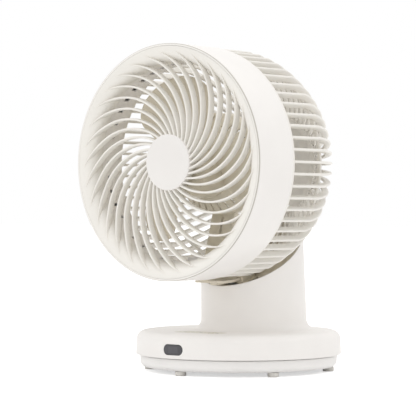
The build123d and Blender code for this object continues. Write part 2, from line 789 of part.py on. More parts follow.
# Control panel let into the cover, with pillars for its board
with BuildPart() as control_panel:
    with BuildSketch(Plane.XY.offset(cover_inner_top)):
        with Locations((0, panel_y)):
            RectangleRounded(panel_width - loose_clearance, panel_depth - loose_clearance, panel_corner - 0.1)
    extrude(amount=shell_wall - panel_recess)
    with BuildSketch(Plane.XY.offset(cover_inner_top)):
        with Locations((0, panel_y)):
            RectangleRounded(panel_width + 2 * panel_flange, panel_depth + 2 * panel_flange, panel_corner)
    extrude(amount=-panel_flange_thickness)
    with BuildSketch(Plane.XY.offset(board_top)):
        with Locations((0, panel_y)):
            with GridLocations(panel_width - 4, panel_depth - 4, 2, 2):
                Circle(2)
    extrude(amount=cover_inner_top - board_top)
    with BuildSketch(Plane.XY.offset(cover_top)):
        with Locations((0, panel_y)):
            with GridLocations(button_pitch, 0, 5, 1):
                Circle(button_radius + 0.15)
    extrude(amount=-10, mode=Mode.SUBTRACT)
control_panel.part.label = "control_panel"
export_step(control_panel.part, "parts/control_panel.step")

# Board under the panel with a switch for each button
with BuildPart() as control_board:
    with BuildSketch(Plane.XY.offset(board_top)):
        with Locations((0, panel_y)):
            Rectangle(panel_width + 2, panel_depth)
    extrude(amount=-board_thickness)
    with BuildSketch(Plane.XY.offset(board_top)):
        with Locations((0, panel_y)):
            with GridLocations(button_pitch, 0, 5, 1):
                Rectangle(switch_width, switch_width)
    extrude(amount=switch_height)
control_board.part.label = "control_board"
export_step(control_board.part, "parts/control_board.step")

# Five push buttons, each a cap with a collar under the panel and a stem down to its switch
collar_top = cover_inner_top - panel_flange_thickness - 0.1
for number, use in enumerate(("power", "speed", "pan", "tilt", "timer")):
    button_x = (number - 2) * button_pitch
    with BuildPart() as button:
        with BuildSketch(Plane.XY.offset(collar_top)):
            with Locations((button_x, panel_y)):
                Circle(button_radius)
        extrude(amount=cover_top - collar_top)
        fillet(button.edges().group_by(Axis.Z)[-1], 0.4)
        with BuildSketch(Plane.XY.offset(collar_top)):
            with Locations((button_x, panel_y)):
                Circle(button_collar_radius)
        extrude(amount=-1.0)
        with BuildSketch(Plane.XY.offset(button_floor)):
            with Locations((button_x, panel_y)):
                Circle(1.5)
        extrude(until=Until.NEXT)
    button.part.label = f"button_{use}"
    export_step(button.part, f"parts/button_{use}.step")

# Dark window for the remote control, curved like the cover
window_back = cover_radius - window_recess - window_thickness
with BuildPart() as ir_window:
    with BuildSketch(Plane.XZ.offset(cover_inner_radius - 10)):
        with Locations((0, window_z)):
            SlotOverall(window_width - 0.2, window_height - 0.2)
    extrude(amount=20)
    with BuildSketch(Plane.XY.offset(window_z)):
        Circle(cover_radius - window_recess)
        Circle(window_back, mode=Mode.SUBTRACT)
    extrude(amount=window_height, both=True, mode=Mode.INTERSECT)
ir_window.part.label = "ir_window"
export_step(ir_window.part, "parts/ir_window.step")

# Receiver on its own small board behind the window
with BuildPart() as ir_receiver:
    with BuildSketch(Plane.XZ.offset(window_back - 4.5)):
        with Locations((0, window_z)):
            Rectangle(14, 9)
    extrude(amount=-1.2)
    with BuildSketch(Plane.XZ.offset(window_back - 4.5)):
        with Locations((0, window_z)):
            Rectangle(6, 7)
    extrude(amount=2.4)
    with BuildSketch(Plane.XZ.offset(window_back - 2.2)):
        with Locations((0, window_z)):
            Circle(2.2)
    extrude(amount=1.9)
ir_receiver.part.label = "ir_receiver"
export_step(ir_receiver.part, "parts/ir_receiver.step")

# Drum band with its inner duct, a ledge for the front grille and a web for the rear grille's screws
with BuildPart() as shroud_band:
    with BuildSketch(spoke_plane(0)):
        inner = band_radius - band_wall
        Polygon(
            (band_radius, trim_depth + 0.1),
            (band_radius, band_depth),
            (web_inner_radius, band_depth),
            (web_inner_radius, band_depth - web_thickness),
            (inner, band_depth - web_thickness),
            (inner, duct_end),
            (duct_radius, duct_end),
            (duct_radius, duct_start),
            (duct_radius + duct_wall, duct_start),
            (duct_radius + duct_wall, duct_end - duct_wall),
            (inner, duct_end - duct_wall),
            (inner, grille_fit_depth + 2),
            (inner - 3.3, grille_fit_depth + 2),
            (inner - 3.3, grille_fit_depth),
            (inner, grille_fit_depth),
            (inner, trim_depth + 0.1),
        )
    revolve(axis=head_axis)
    with BuildSketch(face_plane(duct_slot_start)):
        with PolarLocations(duct_radius + duct_wall / 2, duct_slot_count):
            Rectangle(duct_wall + 1, duct_slot_width)
    extrude(amount=-duct_slot_length, mode=Mode.SUBTRACT)
    with BuildSketch(face_plane(band_depth)):
        with Locations((0, -(leg_foot_inner + web_inner_radius + 1) / 2)):
            Rectangle(2 * leg_half_width, web_inner_radius + 1 - leg_foot_inner)
    extrude(amount=web_thickness)
    with BuildSketch(face_plane(band_depth)):
        for angle in cage_screw_angles:
            with Locations(polar(cage_screw_ring, angle)):
                Circle(cage_screw_radius + 0.05)
        for angle in mount_screw_angles:
            with Locations(polar(mount_screw_ring, angle)):
                Circle(mount_screw_radius + 0.05)
    extrude(amount=web_thickness + 1, mode=Mode.SUBTRACT)
shroud_band.part.label = "shroud_band"
export_step(shroud_band.part, "parts/shroud_band.step")

# Thin bright ring round the rim
with BuildPart() as rim_trim:
    with BuildSketch(face_plane(0.1)):
        Circle(band_radius - 0.1)
        Circle(grille_fit_radius + loose_clearance, mode=Mode.SUBTRACT)
    extrude(amount=-trim_depth)
    fillet(rim_trim.edges().group_by(Axis.Y)[0].sort_by(SortBy.LENGTH)[-1], 0.6)
rim_trim.part.label = "rim_trim"
export_step(rim_trim.part, "parts/rim_trim.step")

# Front grille: hub disc, spiral ribs and the bell mouth with its fitting ring
hub_disc_start = hub_recess + hub_cap_thickness
rib_inside = hub_radius - 2
rib_middle = (rib_inside + spiral_outer_radius) / 2
with BuildSketch() as spiral_rib:
    with BuildLine():
        sides = []
        for arc_radius in (
            spiral_arc_radius - spiral_rib_thickness / 2,
            spiral_arc_radius + spiral_rib_thickness / 2,
        ):
            sides.append(
                ThreePointArc(
                    spiral_point(rib_inside, arc_radius),
                    spiral_point(rib_middle, arc_radius),
                    spiral_point(spiral_outer_radius, arc_radius),
                )
            )
        Line(sides[0] @ 0, sides[1] @ 0)
        Line(sides[0] @ 1, sides[1] @ 1)
    make_face()
with BuildPart() as front_grille:
    with BuildSketch(face_plane(spiral_rib_front)):
        with PolarLocations(0, spiral_rib_count):
            add(spiral_rib.sketch)
    extrude(amount=spiral_rib_front - hub_disc_start - hub_disc_thickness)
    with BuildSketch(face_plane(-1)):
        Circle(hub_radius + 0.3)
    extrude(amount=-1 - hub_disc_start, mode=Mode.SUBTRACT)
    with BuildSketch(face_plane(hub_disc_start)):
        Circle(hub_radius)
    extrude(amount=-hub_disc_thickness)
    with BuildSketch(spoke_plane(0)):
        with BuildLine():
            lip = (bell_lip_radius, bell_depth)
            front = (bell_centre, bell_depth - bell_arc)
            bend = (bell_centre - bell_arc * cos(pi / 4), bell_depth - bell_arc * sin(pi / 4))
            back_arc = bell_arc - bell_wall
            back_lip = (bell_lip_radius + bell_wall, bell_depth)
            back_front = (bell_centre, bell_depth - back_arc)
            back_bend = (bell_centre - back_arc * cos(pi / 4), bell_depth - back_arc * sin(pi / 4))
            ThreePointArc(lip, bend, front)
            ThreePointArc(back_lip, back_bend, back_front)
            Line(lip, back_lip)
            Line(front, back_front)
        make_face()
        Polygon(
            (grille_fit_radius - 2.1, bell_depth - bell_arc),
            (grille_fit_radius, bell_depth - bell_arc),
            (grille_fit_radius, grille_fit_depth),
            (grille_fit_radius - 2.1, grille_fit_depth),
        )
        Polygon(
            (grille_fit_radius, -1),
            (bell_centre + 1, -1),
            (bell_centre + 1, bell_depth),
            (grille_fit_radius, bell_depth),
            mode=Mode.SUBTRACT,
        )
    revolve(axis=head_axis)
front_grille.part.label = "front_grille"
export_step(front_grille.part, "parts/front_grille.step")

# Bare disc snapped over the middle of the front grille
with BuildPart() as hub_cap:
    with BuildSketch(face_plane(hub_recess)):
        Circle(hub_radius)
    extrude(amount=-hub_cap_thickness)
    fillet(hub_cap.edges().group_by(Axis.Y)[0], 0.8)
hub_cap.part.label = "hub_cap"
export_step(hub_cap.part, "parts/hub_cap.step")

# Ribs of the rear grille: straight over the drum, then round the dome to the cap; the rail is the lowest
rib_angles = [180 + 360 / cage_rib_count * step for step in range(1, cage_rib_count)]
cage_start = cage_start_y - rim_y
straight_end = dome_y(dome_radius, cage_radius)
inner_end = dome_y(dome_inner_radius, cage_inner_radius)
cap_depth = dome_y(dome_radius, cap_radius)
cap_inner_depth = dome_y(dome_inner_radius, cap_radius)
halfway = (cage_radius + cap_radius) / 2
with BuildPart() as rear_grille_ribs:
    with BuildSketch(*[spoke_plane(angle) for angle in rib_angles]):
        with BuildLine():
            Line((cage_inner_radius, cage_start), (cage_radius, cage_start))
            Line((cage_radius, cage_start), (cage_radius, straight_end))
            ThreePointArc(
                (cage_radius, straight_end), (halfway, dome_y(dome_radius, halfway)), (cap_radius + 0.1, cap_depth)
            )
            Line((cap_radius + 0.1, cap_depth), (cap_radius + 0.1, cap_inner_depth))
            ThreePointArc(
                (cap_radius + 0.1, cap_inner_depth),
                (halfway, dome_y(dome_inner_radius, halfway)),
                (cage_inner_radius, inner_end),
            )
            Line((cage_inner_radius, inner_end), (cage_inner_radius, cage_start))
        make_face()
    extrude(amount=cage_rib_thickness / 2, both=True)
    with BuildSketch(rail_plane(rail_spine_start - 1)):
        with Locations((0, channel_radius + channel_depth / 2)):
            Rectangle(2 * channel_half_width, channel_depth)
    revolve(axis=tilt_axis, revolution_arc=channel_end - rail_spine_start + 1, mode=Mode.SUBTRACT)
rear_grille_ribs.part.label = "rear_grille_ribs"
export_step(rear_grille_ribs.part, "parts/rear_grille_ribs.step")

# Rings that tie the ribs together: at the drum, inside the dome and under the cap
hoop_outer = sqrt(dome_inner_radius ** 2 - (hoop_y + hoop_width / 2 - tilt_y) ** 2) - 0.05
with BuildPart() as rear_grille_frame:
    with BuildSketch(spoke_plane(0)):
        Polygon(
            (cage_ring_inner_radius, band_depth),
            (cage_radius, band_depth),
            (cage_radius, cage_start - 0.05),
            (cage_ring_inner_radius, cage_start - 0.05),
        )
        with Locations((hoop_outer - hoop_thickness / 2, hoop_y - rim_y)):
            Rectangle(hoop_thickness, hoop_width)
        Polygon(
            (cap_ring_inner_radius, cap_inner_depth),
            (cap_radius, cap_inner_depth),
            (cap_radius, cap_depth - cap_thickness - 1.0),
            (cap_ring_inner_radius, cap_depth - cap_thickness - 1.0),
        )
    revolve(axis=head_axis)
    with BuildSketch(face_plane(band_depth - 1)):
        for angle in cage_screw_angles:
            with Locations(polar(cage_screw_ring, angle)):
                Circle(cage_screw_radius + 0.15)
    extrude(amount=-cage_ring_thickness - 2, mode=Mode.SUBTRACT)
    with BuildSketch(rail_plane(rail_spine_start + 2)):
        with Locations((0, channel_radius + channel_depth / 2)):
            Rectangle(2 * channel_half_width, channel_depth)
    revolve(axis=tilt_axis, revolution_arc=channel_end - rail_spine_start - 2, mode=Mode.SUBTRACT)
rear_grille_frame.part.label = "rear_grille_frame"
export_step(rear_grille_frame.part, "parts/rear_grille_frame.step")

# Domed cap over the middle of the rear grille, notched for the rail
with BuildPart() as rear_cap:
    with BuildSketch(face_plane(cap_depth - cap_thickness - 0.9)):
        Circle(cap_radius)
    extrude(amount=-dome_radius)
    with Locations(tilt_centre):
        Sphere(dome_radius, mode=Mode.INTERSECT)
    with Locations(tilt_centre):
        Sphere(dome_radius - cap_thickness, mode=Mode.SUBTRACT)
    with BuildSketch(rail_plane(rail_spine_end - 8)):
        with Locations((0, channel_radius + channel_depth / 2)):
            Rectangle(2 * channel_half_width, channel_depth)
    revolve(axis=tilt_axis, revolution_arc=channel_end - rail_spine_end + 8, mode=Mode.SUBTRACT)
rear_cap.part.label = "rear_cap"
export_step(rear_cap.part, "parts/rear_cap.step")

# Toothed rail on the bottom of the rear grille, an arc about the tilt centre
tooth_pitch = 360 / tilt_rail_teeth
rail_root = rail_pitch_radius - 0.9
first_tooth = round((-tilt_down - 2.5) / tooth_pitch)
last_tooth = round((rail_end - 1 - tilt_drive_angle) / tooth_pitch)
with BuildPart() as tilt_rail:
    with BuildSketch(side_plane.offset(-rail_tooth_width / 2)):
        with BuildLine():
            outline = []
            for tooth in range(first_tooth, last_tooth + 1):
                centre = tilt_drive_angle + tooth * tooth_pitch
                outline += gear_tooth(tilt_rail_teeth, tilt_module, 0.3, 0.9, gear_backlash, centre)
            start_angle = tilt_drive_angle + (first_tooth - 0.5) * tooth_pitch
            end_angle = tilt_drive_angle + (last_tooth + 0.5) * tooth_pitch
            middle_angle = (start_angle + end_angle) / 2
            top_side = Polyline(polar(rail_root, start_angle), *outline, polar(rail_root, end_angle))
            low_side = ThreePointArc(
                polar(rail_flange_outer - 0.5, start_angle),
                polar(rail_flange_outer - 0.5, middle_angle),
                polar(rail_flange_outer - 0.5, end_angle),
            )
            Line(top_side @ 0, low_side @ 0)
            Line(top_side @ 1, low_side @ 1)
        make_face()
    extrude(amount=rail_tooth_width)
    with BuildSketch(rail_plane(rail_start)):
        with Locations((0, (rail_flange_inner + rail_flange_outer) / 2)):
            Rectangle(rail_flange_width, rail_flange_outer - rail_flange_inner)
    revolve(axis=tilt_axis, revolution_arc=rail_end - rail_start)
    with BuildSketch(rail_plane(rail_spine_start)):
        with Locations((0, (dome_inner_radius + rail_flange_inner + 0.5) / 2)):
            Rectangle(rail_tooth_width, rail_flange_inner - dome_inner_radius + 0.5)
    revolve(axis=tilt_axis, revolution_arc=rail_spine_end - rail_spine_start)
tilt_rail.part.label = "tilt_rail"
export_step(tilt_rail.part, "parts/tilt_rail.step")

# Slotted cone round the front of the motor, on a leg that stands on the band's web
mount_front = impeller_hub_rear_y + mount_front_gap - rim_y
leg_top = leg_top_y - rim_y
leg_foot = leg_foot_y - rim_y
leg_plane = spoke_plane(180)
with BuildPart() as motor_mount:
    with BuildSketch(spoke_plane(0)):
        collar = fan_motor_radius + mount_collar
        cone_end = mount_front + mount_cone_depth
        Polygon(
            (fan_motor_radius + 0.1, mount_front),
            (collar, mount_front),
            (mount_cone_radius, cone_end),
            (mount_cone_radius, cone_end + mount_drum_length),
            (mount_cone_radius - mount_cone_wall, cone_end + mount_drum_length),
            (mount_cone_radius - mount_cone_wall, cone_end + 1),
            (collar, mount_front + mount_cone_wall + 1),
            (collar, mount_front + mount_collar_length),
            (fan_motor_radius + 0.1, mount_front + mount_collar_length),
        )
    revolve(axis=head_axis)
    with BuildSketch(face_plane(mount_front)):
        with PolarLocations((mount_slit_inner + mount_slit_outer) / 2, mount_slit_count, start_angle=270):
            Rectangle(mount_slit_outer - mount_slit_inner, mount_slit_width)
    extrude(amount=-mount_cone_depth - 2, mode=Mode.SUBTRACT)
    with BuildSketch(leg_plane):
        Polygon(
            (mount_cone_radius - 3, leg_top),
            (leg_foot_inner, leg_foot),
            (leg_foot_inner, band_depth),
            (leg_foot_outer, band_depth),
            (leg_foot_outer, band_depth + cage_ring_thickness),
            (leg_wall_outer, band_depth + cage_ring_thickness),
            (leg_wall_outer, leg_foot + leg_thickness),
            (mount_cone_radius - 3, leg_top + leg_thickness),
        )
    extrude(amount=leg_half_width, both=True)
    with BuildSketch(leg_plane.offset(leg_half_width), leg_plane.offset(leg_flange_width - leg_half_width)):
        Polygon(
            (mount_cone_radius, leg_top + leg_thickness - 1),
            (leg_foot_inner, leg_foot + leg_thickness - 1),
            (leg_foot_inner, leg_foot + leg_thickness + 1),
            (mount_cone_radius, leg_top + leg_thickness + leg_flange_height),
        )
    extrude(amount=-leg_flange_width)
    with BuildSketch(face_plane(leg_foot)):
        with Locations((0, -(leg_slot_top + leg_slot_bottom) / 2)):
            Rectangle(leg_slot_width, leg_slot_bottom - leg_slot_top)
    extrude(amount=leg_foot - leg_top - leg_thickness - 2, mode=Mode.SUBTRACT)
    with BuildSketch(face_plane(band_depth)):
        for angle in mount_screw_angles:
            with Locations(polar(mount_screw_ring, angle)):
                Circle(mount_screw_radius + 0.15)
    extrude(amount=-cage_ring_thickness, mode=Mode.SUBTRACT)
motor_mount.part.label = "motor_mount"
export_step(motor_mount.part, "parts/motor_mount.step")

# Motor can with a bearing seat at each end
motor_front = fan_motor_front_y - rim_y
motor_rear = fan_motor_rear_y - rim_y
with BuildPart() as motor_housing:
    with BuildSketch(spoke_plane(0)):
        seat = fan_bearing_radius + 0.02
        wall = fan_motor_wall
        Polygon(
            (fan_shaft_radius + 1.5, motor_front),
            (fan_motor_radius, motor_front),
            (fan_motor_radius, motor_rear),
            (0, motor_rear),
            (0, motor_rear - wall),
            (seat, motor_rear - wall),
            (seat, motor_rear - wall - fan_bearing_width),
            (seat + wall, motor_rear - wall - fan_bearing_width),
            (seat + wall, motor_rear - wall),
            (fan_motor_radius - wall, motor_rear - wall),
            (fan_motor_radius - wall, motor_front + wall),
            (seat + wall, motor_front + wall),
            (seat + wall, motor_front + wall + fan_bearing_width),
            (seat, motor_front + wall + fan_bearing_width),
            (seat, motor_front + wall),
            (fan_shaft_radius + 1.5, motor_front + wall),
        )
    revolve(axis=head_axis)
    fillet(motor_housing.edges().group_by(Axis.Y)[-1], 4)
motor_housing.part.label = "motor_housing"
export_step(motor_housing.part, "parts/motor_housing.step")

# Ball bearings, one in each end of the motor can
front_bearing = motor_front + fan_motor_wall
rear_bearing = motor_rear - fan_motor_wall - fan_bearing_width
with BuildPart() as motor_bearings:
    with BuildSketch(face_plane(front_bearing), face_plane(rear_bearing)):
        Circle(fan_bearing_radius)
        Circle(fan_shaft_radius + 0.03, mode=Mode.SUBTRACT)
    extrude(amount=-fan_bearing_width)
motor_bearings.part.label = "motor_bearings"
export_step(motor_bearings.part, "parts/motor_bearings.step")

# Wound stator
stator_start = front_bearing + fan_bearing_width + 4
stator_length = rear_bearing - 4 - stator_start
with BuildPart() as motor_stator:
    with BuildSketch(face_plane(stator_start)):
        Circle(fan_motor_radius - fan_motor_wall - 0.05)
        Circle(stator_inner_radius, mode=Mode.SUBTRACT)
        with PolarLocations(stator_slot_ring, stator_slots):
            SlotOverall(5.5, 3, rotation=90, mode=Mode.SUBTRACT)
    extrude(amount=-stator_length)
motor_stator.part.label = "motor_stator"
export_step(motor_stator.part, "parts/motor_stator.step")

# Shaft from the rear bearing to the spinner nut
shaft_front = impeller_hub_front_y - spinner_length + 1 - rim_y
with BuildPart() as motor_shaft:
    with BuildSketch(face_plane(shaft_front)):
        Circle(fan_shaft_radius)
    extrude(amount=-(motor_rear - fan_motor_wall - 0.3 - shaft_front))
motor_shaft.part.label = "motor_shaft"
export_step(motor_shaft.part, "parts/motor_shaft.step")

# Magnet rotor on the shaft
with BuildPart() as rotor:
    with BuildSketch(face_plane(stator_start)):
        Circle(stator_inner_radius - air_gap)
        Circle(fan_shaft_radius + 0.02, mode=Mode.SUBTRACT)
    extrude(amount=-stator_length)
rotor.part.label = "rotor"
export_step(rotor.part, "parts/rotor.step")

# Impeller: a cup-shaped hub with broad twisted blades
hub_front = impeller_hub_front_y - rim_y
hub_rear = impeller_hub_rear_y - rim_y
blade_front = blade_front_y - rim_y
blade_rear = blade_rear_y - rim_y
blade_steps = 10
with BuildPart() as impeller:
    with BuildSketch(spoke_plane(0)):
        bore = fan_shaft_radius + 0.02
        cup = impeller_hub_radius - impeller_hub_wall
        Polygon(
            (bore, hub_front),
            (impeller_hub_radius - 5, hub_front),
            (impeller_hub_radius, hub_front + 5),
            (impeller_hub_radius, hub_rear),
            (cup, hub_rear),
            (cup, hub_front + 6),
            (cup - 4, hub_front + impeller_hub_wall),
            (9, hub_front + impeller_hub_wall),
            (9, hub_rear - 2),
            (bore, hub_rear - 2),
        )
    revolve(axis=head_axis)
    for blade in range(blade_count):
        for step in range(blade_steps + 1):
            swing = -cos(pi * step / blade_steps)
            share = blade_crest + swing * (blade_crest if swing < 0 else 1 - blade_crest)
            turn = 360 * blade / blade_count + blade_start_angle + share * blade_span
            tip = blade_end_radius + (blade_tip_radius - blade_end_radius) * sin(pi * step / blade_steps)
            depth = blade_front + share * (blade_rear - blade_front)
            half_root = blade_root_thickness / 2
            half_tip = blade_tip_thickness / 2
            root = impeller_hub_radius - 1.2
            with BuildSketch(spoke_plane(turn)):
                Polygon(
                    (root, depth - half_root),
                    (tip, depth - half_tip),
                    (tip, depth + half_tip),
                    (root, depth + half_root),
                )
        loft(ruled=True)
impeller.part.label = "impeller"
export_step(impeller.part, "parts/impeller.step")

# Nut that holds the impeller on the shaft
with BuildPart() as spinner_nut:
    with BuildSketch(face_plane(hub_front)):
        Circle(spinner_radius)
    extrude(amount=spinner_length)
    fillet(spinner_nut.edges().group_by(Axis.Y)[0], 2)
    with BuildSketch(face_plane(hub_front)):
        Circle(fan_shaft_radius + 0.02)
    extrude(amount=spinner_length - 1, mode=Mode.SUBTRACT)
spinner_nut.part.label = "spinner_nut"
export_step(spinner_nut.part, "parts/spinner_nut.step")

# Screws that join the rear grille and the motor's leg to the band's web
with BuildPart() as head_screws:
    for ring, angles, head, shank in (
        (cage_screw_ring, cage_screw_angles, cage_screw_head_radius, cage_screw_radius),
        (mount_screw_ring, mount_screw_angles, mount_screw_head_radius, mount_screw_radius),
    ):
        with BuildSketch(face_plane(band_depth + cage_ring_thickness)):
            for angle in angles:
                with Locations(polar(ring, angle)):
                    Circle(head)
        extrude(amount=-screw_head_height)
        with BuildSketch(face_plane(band_depth + cage_ring_thickness)):
            for angle in angles:
                with Locations(polar(ring, angle)):
                    Circle(shank)
        extrude(amount=cage_ring_thickness + web_thickness - 0.3)
head_screws.part.label = "head_screws"
export_step(head_screws.part, "parts/head_screws.step")
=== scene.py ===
"""Desk air circulator fan: a drum head with a spiral grille that tilts in the neck of a turning base."""
import logging
from collections.abc import Callable, Sequence
from dataclasses import dataclass, field
from enum import Enum
from math import acos, asin, atan2, cos, degrees, hypot, pi, radians, sin, sqrt, tau

import bmesh
import bpy
from mathutils import Matrix, Vector


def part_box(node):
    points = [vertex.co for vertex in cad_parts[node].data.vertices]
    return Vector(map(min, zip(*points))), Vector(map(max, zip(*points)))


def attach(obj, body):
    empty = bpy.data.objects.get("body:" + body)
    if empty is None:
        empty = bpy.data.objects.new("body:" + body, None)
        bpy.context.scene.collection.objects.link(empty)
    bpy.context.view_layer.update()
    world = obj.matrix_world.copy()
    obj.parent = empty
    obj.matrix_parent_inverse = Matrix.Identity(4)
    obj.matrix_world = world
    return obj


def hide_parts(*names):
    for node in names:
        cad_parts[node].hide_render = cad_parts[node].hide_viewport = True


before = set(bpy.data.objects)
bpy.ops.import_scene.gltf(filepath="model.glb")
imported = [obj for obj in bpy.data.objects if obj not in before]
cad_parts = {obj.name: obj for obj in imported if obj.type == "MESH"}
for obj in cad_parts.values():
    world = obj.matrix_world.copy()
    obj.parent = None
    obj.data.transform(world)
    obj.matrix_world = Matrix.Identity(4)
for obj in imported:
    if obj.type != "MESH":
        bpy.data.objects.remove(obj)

log = logging.getLogger("fan")

Point = tuple[float, float]
Corner = tuple[float, ...]
Colour = tuple[float, float, float]
Place = Callable[[float], Vector]

MM = 0.001
TURN = "turn"
HEAD_HEIGHT = sum(corner.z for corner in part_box("shroud_band")) / 2 / MM
WINDOW_WIDTH, WINDOW_HEIGHT, WINDOW_Z = 24.0, 10.6, 25.7


class Axis(Enum):
    """The line that a turned piece is turned about."""

    HEAD = (0.0, 1.0, 0.0)
    BASE = (0.0, 0.0, 1.0)


class Cut(Enum):
    """What a cutter does to a shape."""

    AWAY = "DIFFERENCE"
    JOIN = "UNION"


# Shader sockets and node sheets


class Signal:
    """A shader socket that arithmetic can be written on."""

    def __init__(self, sheet: "Sheet", socket: bpy.types.NodeSocket) -> None:
        """Keeps the socket and the sheet that its nodes go on."""
        self.sheet = sheet
        self.socket = socket

    def __add__(self, other: "Signal | float") -> "Signal":
        """The sum of two values."""
        return self.sheet.maths("ADD", self, other)

    __radd__ = __add__

    def __sub__(self, other: "Signal | float") -> "Signal":
        """The difference of two values."""
        return self.sheet.maths("SUBTRACT", self, other)

    def __rsub__(self, other: float) -> "Signal":
        """A number less this value."""
        return self.sheet.maths("SUBTRACT", other, self)

    def __mul__(self, other: "Signal | float") -> "Signal":
        """The product of two values."""
        return self.sheet.maths("MULTIPLY", self, other)

    __rmul__ = __mul__

    def __abs__(self) -> "Signal":
        """The size of the value."""
        return self.sheet.maths("ABSOLUTE", self)

    def at_least(self, level: "Signal | float") -> "Signal":
        """The larger of two values."""
        return self.sheet.maths("MAXIMUM", self, level)

    def ramp(self, low: float, high: float) -> "Signal":
        """A soft step from 0 at low to 1 at high."""
        inputs = {"Value": self, "From Min": low, "From Max": high}
        return self.sheet.add("ShaderNodeMapRange", {"interpolation_type": "SMOOTHSTEP"}, inputs)


class Sheet:
    """The node tree of a material or of the world, with a method for each kind of step."""

    mix_inputs: tuple[int, ...] = (0, 6, 7)
    mix_result: int = 2

    def __init__(self, owner: bpy.types.Material | bpy.types.World, kind: str = "Material") -> None:
        """Empties the owner's node tree and adds its output.

        Args:
            owner: the material or world.
            kind: which of the two it is, as its output node's name says.
        """
        owner.use_nodes = True
        self.owner = owner
        self.tree = owner.node_tree
        self.tree.nodes.clear()
        self.output = self.tree.nodes.new(f"ShaderNodeOutput{kind}")

    def add(
        self, kind: str, settings: dict | None = None, inputs: dict | None = None, out: int | str = 0
    ) -> Signal:
        """Adds one node.

        Args:
            kind: the node's type name.
            settings: properties that are set first.
            inputs: values or signals by socket name or number.
            out: the output to hand on.

        Returns:
            The signal of that output.
        """
        node = self.tree.nodes.new(kind)
        for key, value in (settings or {}).items():
            setattr(node, key, value)
        for key, value in (inputs or {}).items():
            if isinstance(value, Signal):
                self.tree.links.new(value.socket, node.inputs[key])
            else:
                node.inputs[key].default_value = value
        return Signal(self, node.outputs[out])

    def split(self, signal: Signal, *outputs: int | str) -> list[Signal]:
        """Other outputs of the node that a signal comes from."""
        return [Signal(self, signal.socket.node.outputs[out]) for out in outputs]

    def maths(self, operation: str, *values: Signal | float) -> Signal:
        """A Math node on one or two values."""
        return self.add("ShaderNodeMath", {"operation": operation}, dict(enumerate(values)))

    def place(self) -> Signal:
        """The point on the piece, in metres in the row frame."""
        return self.add("ShaderNodeTexCoord", out="Object")

    def axes(self) -> list[Signal]:
        """The three numbers of the point on the piece."""
        return self.split(self.add("ShaderNodeSeparateXYZ", inputs={0: self.place()}), 0, 1, 2)

    def noise(self, size: float, detail: float = 3.0, rough: float = 0.5, at: Signal | None = None) -> Signal:
        """Noise from 0 to 1 whose blobs are about size metres across."""
        inputs = {"Vector": at or self.place(), "Scale": 1 / size, "Detail": detail, "Roughness": rough}
        return self.add("ShaderNodeTexNoise", {"noise_dimensions": "3D"}, inputs)

    def mix(self, amount: Signal, *colours: Colour | Signal) -> Signal:
        """The first of two colours turning into the second."""
        ends = [colour if isinstance(colour, Signal) else (*colour, 1.0) for colour in colours]
        inputs = dict(zip(self.mix_inputs, (amount, *ends)))
        return self.add("ShaderNodeMix", {"data_type": "RGBA"}, inputs, self.mix_result)

    def bump(self, height: Signal, depth: float) -> Signal:
        """A surface normal from a height that is 0 to 1 and depth metres deep."""
        return self.add("ShaderNodeBump", inputs={"Height": height, "Distance": depth, "Strength": 1.0})

    def end(self, shader: Signal) -> None:
        """Ends the sheet in a shader."""
        self.tree.links.new(shader.socket, self.output.inputs["Surface"])

    def surface(self, **sockets: Signal | float) -> bpy.types.Material:
        """Ends the sheet in a Principled shader.

        Args:
            sockets: values by socket name, with underscores for spaces.

        Returns:
            The material.
        """
        inputs = {key.replace("_", " "): value for key, value in sockets.items()}
        self.end(self.add("ShaderNodeBsdfPrincipled", inputs=inputs))
        return self.owner

    def seen(self) -> Signal:
        """1 for camera, glossy and transmission rays, else 0."""
        path = self.add("ShaderNodeLightPath")
        camera, glossy, through = self.split(path, "Is Camera Ray", "Is Glossy Ray", "Is Transmission Ray")
        return camera.at_least(glossy).at_least(through)


def linear(colour: Colour) -> Colour:
    """A colour written as a screen shows it, 0 to 255, in the linear values that a shader takes."""
    return tuple((c / 255 / 12.92) if c <= 10 else ((c / 255 + 0.055) / 1.055) ** 2.4 for c in colour)


def shade(colour: Colour, factor: float) -> Colour:
    """A linear colour made darker or lighter."""
    return tuple(min(1.0, c * factor) for c in colour)


# Finishes


@dataclass(frozen=True)
class Stuff:
    """What every finish has: its name, and its colour as a screen shows it, 0 to 255."""

    name: str
    colour: Colour

    def start(self) -> tuple[Sheet, Colour]:
        """An empty sheet for this finish, and its colour in linear values."""
        return Sheet(bpy.data.materials.new(self.name)), linear(self.colour)


@dataclass(frozen=True)
class Moulding(Stuff):
    """Matt or satin moulded plastic with a spark-eroded grain and a faint unevenness of colour."""

    roughness: float = 0.5
    grain: float = 0.0005
    grain_depth: float = 0.00003
    cloud: float = 0.04
    cloud_dark: float = 0.985
    cloud_light: float = 1.01
    speck: float = 0.12
    speck_dark: float = 0.955
    specular: float = 0.4

    def material(self) -> bpy.types.Material:
        """The material of this finish."""
        sheet, base = self.start()
        broad = sheet.noise(self.cloud, 2.0)
        specks = sheet.noise(self.grain * 4, 4.0).ramp(0.55, 0.8) * self.speck
        grain = sheet.noise(self.grain, 2.0, 0.6)
        tint = sheet.mix(broad.ramp(0.3, 0.7), shade(base, self.cloud_dark), shade(base, self.cloud_light))
        return sheet.surface(
            Base_Color=sheet.mix(specks, tint, shade(base, self.speck_dark)),
            Roughness=self.roughness - 0.03 + 0.06 * broad, Specular_IOR_Level=self.specular,
            Normal=sheet.bump(grain, self.grain_depth),
        )


